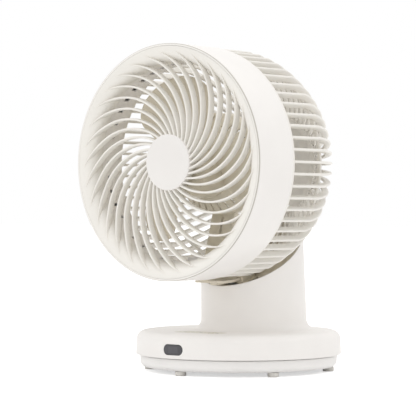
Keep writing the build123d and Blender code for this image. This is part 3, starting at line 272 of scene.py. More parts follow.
@dataclass(frozen=True)
class Metal(Stuff):
    """Steel with fine level lines and faint stains."""

    roughness: float = 0.35
    line: float = 0.0004
    line_depth: float = 0.00002
    squeeze: float = 6.0
    stain: float = 0.012
    stain_dark: float = 0.88

    def material(self) -> bpy.types.Material:
        """The material of this finish."""
        sheet, base = self.start()
        scale = (1.0, 1.0, self.squeeze)
        place = sheet.add("ShaderNodeMapping", inputs={"Vector": sheet.place(), "Scale": scale})
        lines = sheet.noise(self.line, 3.0, 0.6, place)
        stains = sheet.noise(self.stain, 3.0).ramp(0.35, 0.7)
        return sheet.surface(
            Base_Color=sheet.mix(stains, shade(base, self.stain_dark), base), Metallic=1.0,
            Roughness=self.roughness - 0.06 + 0.14 * lines, Normal=sheet.bump(lines, self.line_depth),
        )


@dataclass(frozen=True)
class RimRing(Stuff):
    """Moulded ring with a thin grey line painted where it meets the drum."""

    line: Colour
    centre_z: float
    line_radius: float
    soft: float = 0.0002
    grain: float = 0.0005
    grain_depth: float = 0.00002

    def material(self) -> bpy.types.Material:
        """The material of this finish."""
        sheet, base = self.start()
        x, _, z = sheet.axes()
        up = z - self.centre_z
        reach = sheet.maths("SQRT", x * x + up * up)
        edge = reach.ramp(self.line_radius - self.soft, self.line_radius + self.soft)
        grain = sheet.noise(self.grain, 2.0, 0.6)
        return sheet.surface(
            Base_Color=sheet.mix(edge, base, linear(self.line)), Roughness=0.46 + 0.06 * grain,
            Specular_IOR_Level=0.4, Normal=sheet.bump(grain, self.grain_depth),
        )


@dataclass(frozen=True)
class Rubber(Stuff):
    """Soft rubber with a powdery surface."""

    dust: float = 0.003
    dust_light: float = 1.08
    pore: float = 0.0003
    pore_depth: float = 0.00006

    def material(self) -> bpy.types.Material:
        """The material of this finish."""
        sheet, base = self.start()
        dust = sheet.noise(self.dust, 5.0)
        pores = sheet.noise(self.pore, 2.0)
        return sheet.surface(
            Base_Color=sheet.mix(dust.ramp(0.4, 0.75), base, shade(base, self.dust_light)),
            Roughness=0.72 + 0.12 * dust, Specular_IOR_Level=0.3, Normal=sheet.bump(pores, self.pore_depth),
        )


@dataclass(frozen=True)
class Board(Stuff):
    """Circuit board with solder mask and faint copper runs."""

    run_pitch: float = 0.0025
    run_depth: float = 0.00004
    run_light: float = 1.5

    def material(self) -> bpy.types.Material:
        """The material of this finish."""
        sheet, base = self.start()
        settings = {"feature": "F1", "distance": "MANHATTAN"}
        inputs = {"Vector": sheet.place(), "Scale": 1 / self.run_pitch}
        runs = sheet.add("ShaderNodeTexVoronoi", settings, inputs).ramp(0.42, 0.48)
        return sheet.surface(
            Base_Color=sheet.mix(runs, base, shade(base, self.run_light)), Roughness=0.38 + 0.1 * runs,
            Normal=sheet.bump(runs, self.run_depth), Coat_Weight=0.3,
        )


@dataclass(frozen=True)
class DarkWindow(Stuff):
    """Smoky glossy window, darker round its border and with the receiver showing faintly in its middle."""

    border: Colour
    middle: Colour
    width: float
    height: float
    centre_z: float
    border_width: float = 0.0011
    border_soft: float = 0.0003
    middle_across: Point = (0.0054, 0.0062)
    middle_up: Point = (0.0026, 0.0034)

    def material(self) -> bpy.types.Material:
        """The material of this finish."""
        sheet, base = self.start()
        x, _, z = sheet.axes()
        across, up = abs(x), abs(z - self.centre_z)
        radius = self.height / 2
        past = (across - (self.width / 2 - radius)).at_least(0.0)
        reach = sheet.maths("SQRT", past * past + up * up)
        start = radius - self.border_width
        edge = reach.ramp(start - self.border_soft, start + self.border_soft)
        inside = (1 - across.ramp(*self.middle_across)) * (1 - up.ramp(*self.middle_up))
        dust = sheet.noise(0.004, 4.0)
        tint = sheet.mix(inside, base, linear(self.middle))
        return sheet.surface(
            Base_Color=sheet.mix(edge, tint, linear(self.border)), Specular_IOR_Level=0.5,
            Roughness=0.16 + 0.08 * dust.ramp(0.4, 0.7), Coat_Weight=0.25,
        )


class Finish(Enum):
    """Every finish on the fan."""

    SHELL = Moulding("ivory_shell", (247, 244, 241), 0.5)
    TRAY = Moulding("ivory_tray", (250, 248, 246), 0.52)
    GRILLE = Moulding("ivory_grille", (243, 240, 234), 0.42, grain_depth=0.00002)
    HUB = Moulding("ivory_hub", (242, 239, 236), 0.46)
    IMPELLER = Moulding("cream_blades", (229, 221, 203), 0.36, grain_depth=0.000012)
    MOUNT = Moulding("ivory_mount", (232, 225, 208), 0.48)
    # The liner's warmer, darker ivory is painted shade: it is the shell's plastic, tinted as it looks in the
    # shade under the head.
    LINER = Moulding("shade_warm_liner", (240, 231, 212), 0.55)
    # The rail's darker, warmer ivory is painted shade, for the shaded gap between the head and the neck.
    RAIL = Moulding("shade_warm_rail", (228, 220, 203), 0.42, grain_depth=0.00002)
    # The panel's darker colour is painted shade, standing in for the shaded edge of its recess.
    PANEL = Moulding("key_panel_satin", (214, 208, 192), 0.4)
    KEY = Moulding("ivory_keys", (243, 240, 236), 0.42, grain=0.0003)
    PRINT = Moulding("grey_print", (138, 134, 130), 0.5, grain=0.0003)
    SLIP = Moulding("natural_acetal", (233, 231, 224), 0.3, grain_depth=0.00001)
    BLACK = Moulding("black_moulding", (34, 34, 36), 0.45)
    # The can's dark brown-grey is painted shade: it makes the carrier's slits show dark.
    CAN = Moulding("shade_dark_can", (124, 112, 94), 0.38, grain_depth=0.00002)
    TRIM = RimRing("rim_line", (246, 243, 238), (196, 192, 184), HEAD_HEIGHT * MM, 113.35 * MM)
    STEEL = Metal("plain_steel", (168, 168, 172), 0.34)
    RUBBER = Rubber("grey_rubber", (222, 219, 214))
    BOARD = Board("circuit_board", (28, 84, 48))
    WINDOW = DarkWindow(
        "smoky_window", (56, 54, 60), (42, 41, 45), (66, 64, 70),
        WINDOW_WIDTH * MM, WINDOW_HEIGHT * MM, WINDOW_Z * MM,
    )

    def on(self, piece: bpy.types.Object) -> None:
        """Puts this finish on a piece, in its only slot."""
        material = bpy.data.materials.get(self.value.name) or self.value.material()
        piece.data.materials.clear()
        piece.data.materials.append(material)


# Shapes


def rounded(corners: Sequence[Corner], closed: bool = True, steps: int = 5) -> list[Point]:
    """The points of a flat outline whose corners are rounded.

    Args:
        corners: each corner's two places, and its radius where it has one.
        closed: whether the last corner joins the first.
        steps: how many pieces a rounded corner has.

    Returns:
        The outline's points in order.
    """
    points: list[Point] = []
    last = len(corners) - 1
    for i, (x, y, *radii) in enumerate(corners):
        if not radii or (not closed and i in (0, last)):
            points.append((x, y))
            continue
        here, radius = Vector((x, y)), radii[0]
        before = (Vector(corners[i - 1][:2]) - here).normalized()
        after = (Vector(corners[i + 1 if i < last else 0][:2]) - here).normalized()
        half = acos(max(-1.0, min(1.0, before.dot(after)))) / 2
        middle = here + (before + after).normalized() * (radius / sin(half))
        start, stop = (here + way * (radius * cos(half) / sin(half)) - middle for way in (before, after))
        first = atan2(start.y, start.x)
        sweep = (atan2(stop.y, stop.x) - first + pi) % tau - pi
        for k in range(steps + 1):
            angle = first + sweep * k / steps
            points.append((middle.x + radius * cos(angle), middle.y + radius * sin(angle)))
    return points


def arc(middle: Point, radius: float, start: float, end: float, steps: int) -> list[Point]:
    """Points along an arc, from one angle in degrees to another."""
    angles = [radians(start + (end - start) * k / steps) for k in range(steps + 1)]
    return [(middle[0] + radius * cos(a), middle[1] + radius * sin(a)) for a in angles]


def section(inner: float, outer: float, front: float, back: float, *radii: float) -> list[Corner]:
    """The corners of a ring's four-sided section, each with its rounding."""
    places = ((inner, front), (outer, front), (outer, back), (inner, back))
    return [(*place, radius) for place, radius in zip(places, radii)]


def shown(name: str, data: bpy.types.ID) -> bpy.types.Object:
    """A new object in the scene."""
    item = bpy.data.objects.new(name, data)
    bpy.context.scene.collection.objects.link(item)
    return item


class Shape:
    """A mesh being shaped, in millimetres. Its methods hand it back, so that calls can be chained."""

    def __init__(self) -> None:
        """Starts empty."""
        self.mesh = bmesh.new()

    def turned(
        self, corners: Sequence[Corner], axis: Axis, closed: bool = True, steps: int = 180, soft: int = 4
    ) -> "Shape":
        """Adds a turned solid.

        Args:
            corners: each corner's distance from the axis, place along it and, if it is round, radius.
            axis: the line that it turns about.
            closed: whether the outline's ends are joined.
            steps: how many steps make the full turn.
            soft: how many pieces a rounded corner has.

        Returns:
            This shape.
        """
        outline = rounded(corners, closed, soft)
        verts = [self.mesh.verts.new((r, h, 0) if axis is Axis.HEAD else (r, 0, h)) for r, h in outline]
        pairs = list(zip(verts, verts[1:])) + ([(verts[-1], verts[0])] if closed else [])
        edges = [self.mesh.edges.new(pair) for pair in pairs]
        bmesh.ops.spin(
            self.mesh, geom=verts + edges, axis=axis.value, angle=tau, steps=steps, use_merge=True,
        )
        return self

    def lofted(self, stations: Sequence[Place], segments: int, capped: bool = True) -> "Shape":
        """Adds a skin through a row of loops, each pulled out of the last.

        Args:
            stations: for each loop, a function from an angle in radians to a point.
            segments: how many points each loop has.
            capped: whether both ends are closed with a face.

        Returns:
            This shape.
        """
        layers = self.mesh.verts.layers.float
        layer = layers.get(TURN) or layers.new(TURN)
        ring = bmesh.ops.create_circle(self.mesh, segments=segments, radius=1.0)["verts"]
        for v in ring:
            v[layer] = atan2(v.co.y, v.co.x) + pi / segments
            v.co = stations[0](v[layer])
        first = edges = list({e for v in ring for e in v.link_edges})
        for place in stations[1:]:
            made = bmesh.ops.extrude_edge_only(self.mesh, edges=edges)["geom"]
            new = {g for g in made if isinstance(g, bmesh.types.BMVert)}
            for v in new:
                v.co = place(v[layer])
            edges = [g for g in made if isinstance(g, bmesh.types.BMEdge) and set(g.verts) <= new]
        if capped:
            bmesh.ops.edgeloop_fill(self.mesh, edges=first)
            bmesh.ops.edgeloop_fill(self.mesh, edges=edges)
        return self

    def bar(
        self, front: Sequence[Vector], back: Sequence[Vector], across: Sequence[Vector],
        widths: Sequence[float], round_back: float = 0.5, segments: int = 16,
    ) -> None:
        """Adds a bar with a fully round front edge, such as a grille's rib.

        Args:
            front: points along its front edge.
            back: points along its back edge.
            across: the direction of its thickness at each point.
            widths: its thickness at each point.
            round_back: how far its back edge is rounded.
            segments: how many points go round it.
        """
        def station(start: Vector, end: Vector, side: Vector, width: float) -> Place:
            """The loop round one cut across the bar, from a point of its front, back, direction and width."""
            height = (end - start).length
            inward = (end - start) / height
            nose, heel = min(width / 2, height / 2), min(round_back, width / 2, height / 2)

            def place(turn: float) -> Vector:
                """A point on the cut's edge."""
                s = sin(turn)
                down = nose * (1 - abs(s)) if s < 0 else height - heel * (1 - abs(s))
                return start + inward * down + side * (width / 2 * cos(turn))
            return place
        self.lofted([station(*row) for row in zip(front, back, across, widths)], segments)

    def repeat(self, count: int, axis: Axis, skip: Sequence[int] = ()) -> "Shape":
        """Copies everything so far round an axis.

        Args:
            count: how many there are in a full turn.
            axis: the line that they stand round.
            skip: numbers of copies that are left out.

        Returns:
            This shape.
        """
        source = [*self.mesh.verts, *self.mesh.edges, *self.mesh.faces]
        for number in range(1, count):
            if number in skip:
                continue
            made = bmesh.ops.duplicate(self.mesh, geom=source)["geom"]
            verts = [g for g in made if isinstance(g, bmesh.types.BMVert)]
            turn = Matrix.Rotation(tau * number / count, 3, Vector(axis.value))
            bmesh.ops.rotate(self.mesh, verts=verts, matrix=turn)
        return self

    def box(self, low: Sequence[float], high: Sequence[float]) -> "Shape":
        """Adds a block.

        Args:
            low: its lowest corner.
            high: its highest corner.

        Returns:
            This shape.
        """
        low, high = Vector(low), Vector(high)
        made = bmesh.ops.create_cube(self.mesh, size=1.0)["verts"]
        bmesh.ops.scale(self.mesh, verts=made, vec=high - low)
        bmesh.ops.translate(self.mesh, verts=made, vec=(low + high) / 2)
        return self

    def move(self, vector: Sequence[float]) -> "Shape":
        """Moves everything."""
        bmesh.ops.translate(self.mesh, verts=self.mesh.verts, vec=Vector(vector))
        return self

    def tidy(self) -> "Shape":
        """Merges doubles and turns the faces outwards."""
        bmesh.ops.remove_doubles(self.mesh, verts=self.mesh.verts, dist=0.0008)
        bmesh.ops.recalc_face_normals(self.mesh, faces=self.mesh.faces)
        return self

    def soften(self, width: float, over: float = 30.0, segments: int = 2) -> "Shape":
        """Rounds the sharp edges.

        Args:
            width: how far they are rounded.
            over: the angle in degrees past which an edge is sharp.
            segments: how many faces make a rounded edge.

        Returns:
            This shape.
        """
        self.mesh.normal_update()
        edges = [e for e in self.mesh.edges
                 if len(e.link_faces) == 2 and e.calc_face_angle(0.0) > radians(over)]
        bmesh.ops.bevel(
            self.mesh, geom=edges, offset=width, offset_type="OFFSET", segments=segments, profile=0.5,
            affect="EDGES", material=-1, clamp_overlap=True, loop_slide=True,
        )
        return self

    def loose(self, name: str) -> bpy.types.Object:
        """A scene object of this shape, which is used up."""
        data = bpy.data.meshes.new(name)
        self.mesh.to_mesh(data)
        self.mesh.free()
        return shown(name, data)

    def join(self, other: "Shape") -> "Shape":
        """Takes another shape's mesh in as it is.

        Args:
            other: the other shape, which is used up.

        Returns:
            This shape.
        """
        data = bpy.data.meshes.new("joined")
        other.tidy().mesh.to_mesh(data)
        other.mesh.free()
        self.mesh.from_mesh(data)
        bpy.data.meshes.remove(data)
        return self

    def carve(self, cutter: "Shape", cut: Cut = Cut.AWAY) -> "Shape":
        """Cuts this shape with another one.

        Args:
            cutter: the other shape, which is used up.
            cut: what the cutter does.

        Returns:
            This shape.
        """
        target, tool = self.tidy().loose("carve_target"), cutter.tidy().loose("carve_tool")
        change = target.modifiers.new("carve", "BOOLEAN")
        change.operation, change.object, change.solver = cut.value, tool, "EXACT"
        graph = bpy.context.evaluated_depsgraph_get()
        result = bpy.data.meshes.new_from_object(target.evaluated_get(graph))
        self.mesh = bmesh.new()
        self.mesh.from_mesh(result)
        spent = [target.data, tool.data, result]
        for item in (target, tool):
            bpy.data.objects.remove(item)
        for data in spent:
            bpy.data.meshes.remove(data)
        return self

    def piece(
        self, name: str, finish: Finish, body: str, slot: str, *nodes: str, sharp: float = 35.0
    ) -> None:
        """Ends the shape as a piece of the fan.

        Args:
            name: the piece's name.
            finish: its finish.
            body: the body that it rides on.
            slot: the record's material slot; not used.
            nodes: the nodes that it stands for.
            sharp: edges over this angle stay sharp.
        """
        bmesh.ops.scale(self.mesh, verts=self.mesh.verts, vec=(MM, MM, MM))
        layer = self.mesh.verts.layers.float.get(TURN)
        if layer:
            self.mesh.verts.layers.float.remove(layer)
        item = self.loose(name)
        count = len(item.data.polygons)
        item.data.polygons.foreach_set("use_smooth", [True] * count)
        item.data.set_sharp_from_angle(angle=radians(sharp))
        finish.on(item)
        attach(item, body)
        if nodes:
            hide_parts(*nodes)
        log.info("%s: %d faces, rides on %s", name, count, body)


def softened(
    node: str, name: str, finish: Finish, body: str, slot: str, width: float, over: float = 40.0,
    segments: int = 2,
) -> None:
    """Makes a copy of a node's mesh with its edges rounded, standing for the node.

    Args:
        node: the node.
        name: the new piece's name.
        finish: its finish.
        body: the body that it rides on.
        slot: the record's material slot.
        width: how far its edges are rounded, in millimetres.
        over: edges over this angle are rounded.
        segments: how many faces make a rounded edge.
    """
    shape = Shape()
    shape.mesh.from_mesh(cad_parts[node].data)
    bmesh.ops.scale(shape.mesh, verts=shape.mesh.verts, vec=(1 / MM,) * 3)
    bmesh.ops.remove_doubles(shape.mesh, verts=shape.mesh.verts, dist=0.002)
    bmesh.ops.dissolve_limit(
        shape.mesh, angle_limit=radians(0.6), verts=shape.mesh.verts, edges=shape.mesh.edges,
    )
    shape.soften(width, over, segments).piece(name, finish, body, slot, node)


# The head


@dataclass
class Head:
    """The drum that tilts: grille, band, cage and motor. Depths run back from the rim."""

    tilt_y: float = -39.0
    hub_radius: float = 27.0
    hub_recess: float = 3.0
    hub_crown: float = 0.25
    hub_thickness: float = 4.0
    plate_front: float = 6.6
    plate_back: float = 11.5
    bell_centre: Point = (112.8, 17.0)
    bell_arc: float = 16.8
    bell_wall: float = 1.8
    fit_radius: float = 111.6
    fit_wall: float = 2.1
    fit_depth: float = 12.0
    spiral_arc: float = 66.2
    spiral_centre: float = 57.5
    spiral_angle: float = 94.75
    rib_count: int = 33
    rib_steps: int = 34
    rib_root: float = 25.5
    rib_tail: float = 107.0
    rib_front: float = 4.0
    rib_depth: float = 7.5
    rib_width: float = 1.75
    rib_tip_width: float = 0.25
    rib_dive: float = 86.0
    rib_taper: float = 92.0
    rib_meets_bell: float = 96.0
    rim_thickness: float = 1.6
    band_wall: float = 2.2
    web_width: float = 9.0
    web_thickness: float = 3.3
    stop_width: float = 3.3
    stop_thickness: float = 2.0
    tab_half_width: float = 14.0
    tab_height: float = 13.0
    duct_radius: float = 96.5
    duct_wall: float = 1.6
    duct_start: float = 17.6
    duct_end: float = 41.0
    slot_count: int = 44
    slot_width: float = 3.6
    slot_start: float = 24.5
    slot_length: float = 7.0
    cage_radius: float = 113.0
    cage_start: float = 56.1
    cage_rib_depth: float = 7.0
    cage_rib_width: float = 2.6
    cage_pitch: float = 6.0
    low_ribs: int = 3
    hoop_width: float = 3.6
    hoop_half: float = 1.5
    dome_radius: float = 116.5
    cap_radius: float = 52.0
    cap_thickness: float = 2.8
    cap_ring_width: float = 6.0
    channel_radius: float = 111.9
    channel_half_width: float = 17.2
    channel_end: float = 41.0
    motor_radius: float = 30.0
    motor_bore: float = 4.5
    rim_y: float = field(init=False)
    band_radius: float = field(init=False)
    band_depth: float = field(init=False)
    dome_depth: float = field(init=False)
    place: Vector = field(init=False)

    def __post_init__(self) -> None:
        """Takes the drum's place from the frame."""
        low, high = (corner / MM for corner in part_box("shroud_band"))
        self.rim_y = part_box("rim_trim")[0].y / MM
        self.band_radius = (high.x - low.x) / 2
        self.band_depth = high.y - self.rim_y
        self.dome_depth = self.tilt_y - self.rim_y
        self.place = Vector((0, self.rim_y, HEAD_HEIGHT))

    def placed(self, shape: Shape) -> Shape:
        """Tidies a shape that is centred on the rim and moves it to its place."""
        return shape.tidy().move(self.place)

    def bell_surface(self, radius: float) -> float:
        """Depth of the bell's front surface at a distance from the axis."""
        across = self.bell_centre[0] - radius
        return self.bell_centre[1] - sqrt(max(0.0, self.bell_arc ** 2 - across ** 2))

    def spiral(self, radius: float) -> Vector:
        """The point where the ribs' arc crosses a distance from the axis."""
        across = radius ** 2 + self.spiral_centre ** 2 - self.spiral_arc ** 2
        angle = radians(self.spiral_angle) - acos(across / (2 * radius * self.spiral_centre))
        return Vector((radius * cos(angle), 0, radius * sin(angle)))

    def grille(self) -> None:
        """Bell mouth, hub plate and tapering spiral ribs, in one moulding."""
        (centre, middle), wall, outer = self.bell_centre, self.bell_wall, self.fit_radius
        inner, back_arc = outer - self.fit_wall, self.bell_arc - wall
        front_end = 180 + degrees(acos((centre - outer) / self.bell_arc))
        back_start = 180 + degrees(acos((centre - inner) / back_arc))
        bell = [
            *arc(self.bell_centre, self.bell_arc, 180, front_end, 22),
            (outer, 1.0), (outer, self.fit_depth, 0.3), (inner, self.fit_depth, 0.3), (inner, 4.0),
            *arc(self.bell_centre, back_arc, back_start, 180, 16),
            *arc((centre - self.bell_arc + wall / 2, middle), wall / 2, 30, 150, 3),
        ]
        radius, front, back = self.hub_radius, self.plate_front, self.plate_back
        plate = [(0, front), (radius, front), (radius, back, 0.6), (0, back)]
        grille = Shape().turned(bell, Axis.HEAD, steps=216, soft=2)
        grille.turned(plate, Axis.HEAD, closed=False, steps=120, soft=3)
        ribs = Shape()
        self._spiral_rib(ribs)
        ribs.repeat(self.rib_count, Axis.HEAD)
        grille.tidy().join(ribs).move(self.place)
        grille.piece("spiral_grille", Finish.GRILLE, "head", "grille_plastic", "front_grille")

    def _spiral_rib(self, shape: Shape) -> None:
        """Adds one rib, from inside the hub plate to a point that fades into the bell.

        Args:
            shape: the shape that it is added to.
        """
        front, back, across, widths = [], [], [], []
        drop = self.bell_surface(self.rib_tail) - 0.1 - self.rib_front
        for k in range(self.rib_steps + 1):
            radius = self.rib_root + (self.rib_tail - self.rib_root) * (k / self.rib_steps)
            here = self.spiral(radius)
            along = (self.spiral(radius + 0.2) - here).normalized()
            dive = max(0.0, (radius - self.rib_dive) / (self.rib_tail - self.rib_dive))
            depth = self.rib_front + drop * dive * dive * (3 - 2 * dive)
            low = depth + self.rib_depth
            if radius > self.rib_meets_bell:
                low = min(low, self.bell_surface(radius) + 0.9)
            taper = max(0.0, (radius - self.rib_taper) / (self.rib_tail - self.rib_taper))
            front.append(here + Vector((0, depth, 0)))
            back.append(here + Vector((0, max(low, depth + 0.6), 0)))
            across.append(Vector((along.z, 0, -along.x)))
            widths.append(self.rib_width * (1 - taper) ** 0.7 + self.rib_tip_width)
        shape.bar(front, back, across, widths)

    def hub(self) -> None:
        """Bare disc over the grille's middle, slightly crowned."""
        front, back, radius = self.hub_recess, self.hub_recess + self.hub_thickness, self.hub_radius
        outline = [(radius * s, front - self.hub_crown * (1 - s ** 2)) for s in (0, 0.2, 0.4, 0.6, 0.8)]
        edge = [(radius * 0.86, front - 0.06), (radius, front, 1.1), (radius, back, 0.3), (0, back)]
        outline += rounded(edge, False, 6)[1:]
        disc = Shape().turned(outline, Axis.HEAD, closed=False, steps=144)
        self.placed(disc).piece("hub_disc", Finish.HUB, "head", "shell_plastic", "hub_cap")

    def band(self) -> None:
        """Smooth drum with its shadow line at the back, a slotted duct inside and the ring round its rim."""
        out, back, inner = self.band_radius, self.band_depth, self.band_radius - self.band_wall
        web, web_front, end = out - self.web_width, back - self.web_thickness, self.duct_end
        wall_in, wall_front = self.duct_radius + 0.3, self.duct_end - self.duct_wall
        stop, stop_back = inner - self.stop_width, self.fit_depth + self.stop_thickness
        corners = [
            (out, self.rim_thickness, 0.4), (out, back - 1.3, 0.5), (out - 0.8, back - 1.3, 0.1),
            (out - 0.8, back - 0.7, 0.1), (out - 0.5, back - 0.7, 0.2), (out - 0.5, back), (web, back, 0.3),
            (web, web_front, 0.3), (inner, web_front, 0.6), (inner, end, 0.5), (wall_in, end, 0.2),
            (wall_in, wall_front, 0.2), (inner, wall_front, 0.6), (inner, stop_back, 0.4),
            (stop, stop_back, 0.3), (stop, self.fit_depth, 0.3), (inner, self.fit_depth, 0.3),
            (inner, self.rim_thickness, 0.2),
        ]
        drum = Shape().turned(corners, Axis.HEAD, steps=216).join(self._duct())
        half = self.tab_half_width
        tab = Shape().box((-half, back - 3.2, -web - 1.5), (half, back - 0.1, self.tab_height - web))
        drum.join(tab.soften(0.4))
        self.placed(drum).piece("drum_band", Finish.SHELL, "head", "shell_plastic", "shroud_band")
        rim = section(inner, out - 0.1, 0.1, self.rim_thickness - 0.1, 0.35, 0.75, 0.1, 0.1)
        ring = Shape().turned(rim, Axis.HEAD, steps=216, soft=5)
        self.placed(ring).piece("rim_line", Finish.TRIM, "head", "trim", "rim_trim")

    def _duct(self) -> Shape:
        """The duct round the blades, with a row of slots."""
        low, high, half = self.duct_radius, self.duct_radius + self.duct_wall, self.slot_width / 2
        corners = section(low, high, self.duct_start, self.duct_end, 0.5, 0.5, 0.4, 0.4)
        duct = Shape().turned(corners, Axis.HEAD, steps=176)
        middle, reach, slot_end = (low + high) / 2, self.duct_wall, self.slot_start + self.slot_length
        slots = Shape().box((-half, self.slot_start, middle - reach), (half, slot_end, middle + reach))
        return duct.carve(slots.repeat(self.slot_count, Axis.HEAD))

    def cage(self) -> None:
        """Ribs from the drum over the dome to the cap, and the rings that tie them."""
        ribs = Shape()
        count, lows = round(360 / self.cage_pitch), self.low_ribs
        self._cage_rib(ribs, radians(180 + (lows + 1) * self.cage_pitch), False)
        ribs.repeat(count, Axis.HEAD, skip=range(count - 2 * lows - 1, count))
        for step in range(1, lows + 1):
            for side in (step, -step):
                self._cage_rib(ribs, radians(180 + self.cage_pitch * side), True)
        self.placed(ribs).piece("cage_ribs", Finish.GRILLE, "head", "grille_plastic", "rear_grille_ribs")
        dome_in, cap = self.dome_radius - self.cage_rib_depth, self.cap_radius
        hoop_front, hoop_back = -self.rim_y - self.hoop_half, -self.rim_y + self.hoop_half
        hoop = sqrt(dome_in ** 2 - (hoop_back - self.dome_depth) ** 2) + 0.1
        cap_front = self.dome_depth + sqrt(dome_in ** 2 - cap ** 2)
        cap_back = self.dome_depth + sqrt((self.channel_radius - 0.4) ** 2 - cap ** 2)
        drum_in, drum_out = self.band_radius - self.web_width + 0.2, self.cage_radius + 0.4
        rings = Shape()
        for corners in (
            section(drum_in, drum_out, self.band_depth, self.cage_start, 0.3, 0.3, 1.3, 0.4),
            section(hoop - self.hoop_width, hoop, hoop_front, hoop_back, 0.8, 0.8, 0.8, 0.8),
            section(cap - self.cap_ring_width, cap, cap_front, cap_back, 0.6, 0.6, 0.3, 0.3),
        ):
            rings.turned(corners, Axis.HEAD)
        self.placed(rings).piece("cage_rings", Finish.GRILLE, "head", "grille_plastic", "rear_grille_frame")

    def _cage_rib(self, shape: Shape, angle: float, low: bool) -> None:
        """Adds one rib of the cage: straight behind the drum, then round the dome to the cap.

        Args:
            shape: the shape that it is added to.
            angle: its angle round the head's axis, from the top.
            low: whether it is kept low where the tilt rail's shoes run.
        """
        out, dome, middle = self.cage_radius, self.dome_radius, self.dome_depth
        dome_in, straight_in = dome - self.cage_rib_depth, out - self.cage_rib_depth
        radial, side = Vector((sin(angle), 0, cos(angle))), Vector((cos(angle), 0, -sin(angle)))
        turn_at, stop_at = asin(out / dome), asin((self.cap_radius + 0.1) / dome)
        bend = dome * cos(turn_at)
        edge = [(out, self.cage_start + (middle + bend - self.cage_start) * k / 5) for k in range(5)]
        edge += arc((0.0, middle), dome, 90 - degrees(turn_at), 90 - degrees(stop_at), 18)
        front, back = [], []
        for radius, depth in edge:
            rise = depth - middle
            reach = hypot(radius, rise)
            inward = dome_in / reach if rise > bend - 1e-6 else 1.0
            back.append(radial * min(straight_in, radius * inward) + Vector((0, middle + rise * inward, 0)))
            shrink = 1.0
            if low:
                across = abs(radius * sin(angle))
                limit = sqrt(self.channel_radius ** 2 + across ** 2) - 0.1
                inside = min(1.0, max(0.0, (self.channel_half_width + 3.0 - across) / 1.5))
                shrink -= inside * (1 - min(1.0, limit / reach))
            front.append(radial * (radius * shrink) + Vector((0, middle + rise * shrink, 0)))
        count = len(edge)
        shape.bar(front, back, [side] * count, [self.cage_rib_width] * count, 0.6, 14)

    def cap(self) -> None:
        """Domed cap at the back, notched at the bottom for the rail."""
        middle, radius, outer = self.dome_depth, self.cap_radius, self.dome_radius
        inner = outer - self.cap_thickness
        edge, inner_edge = degrees(acos(radius / outer)), degrees(acos(radius / inner))
        outline = [
            *arc((0.0, middle), outer, 90, edge + 0.8, 26),
            (radius - 0.2, middle + outer * sin(radians(edge)) - 0.25),
            (radius, middle + inner * sin(radians(inner_edge)) + 0.8),
            *arc((0.0, middle), inner, inner_edge, 90, 20),
        ]
        dome = Shape().turned(outline, Axis.HEAD, closed=False, steps=144)
        half = self.channel_half_width
        notch = Shape().box((-half, middle + 90, -radius - 5), (half, middle + 120, -self.channel_end))
        dome.carve(notch.tidy().soften(2.0, segments=3)).soften(0.5, 50.0)
        dome.move(self.place).piece("cage_cap", Finish.GRILLE, "head", "grille_plastic", "rear_cap")

    def motor(self) -> None:
        """Motor can with a stepped back, in its slotted cone. Its dark colour is painted shade that shows
        through the slits.
        """
        start, end = (corner.y / MM - self.rim_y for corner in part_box("motor_housing"))
        radius, bore = self.motor_radius, self.motor_bore
        corners = [
            (bore, start), (11, start, 0.5), (12, start + 1.2, 0.5), (radius - 2, start + 1.2, 0.5),
            (radius, start + 3, 1.0), (radius, end - 5, 1.5), (radius - 3.5, end - 1.5, 2.5),
            (15, end - 1.2, 0.5), (14, end, 0.5), (0, end), (0, end - 2.6), (radius - 4, end - 4.2, 1.0),
            (radius - 2.6, start + 4, 0.5), (bore, start + 3),
        ]
        can = Shape().turned(corners, Axis.HEAD, steps=96)
        self.placed(can).piece("motor_can", Finish.CAN, "head", "motor_can", "motor_housing")
        softened("motor_mount", "motor_carrier", Finish.MOUNT, "head", "grille_plastic", 0.35, 30.0)

    def build(self) -> None:
        """Builds every piece of the head, with the toothed arc that carries it."""
        self.grille()
        self.hub()
        self.band()
        self.cage()
        self.cap()
        self.motor()
        softened("tilt_rail", "tilt_arc", Finish.RAIL, "head", "liner_plastic", 0.2, segments=1)


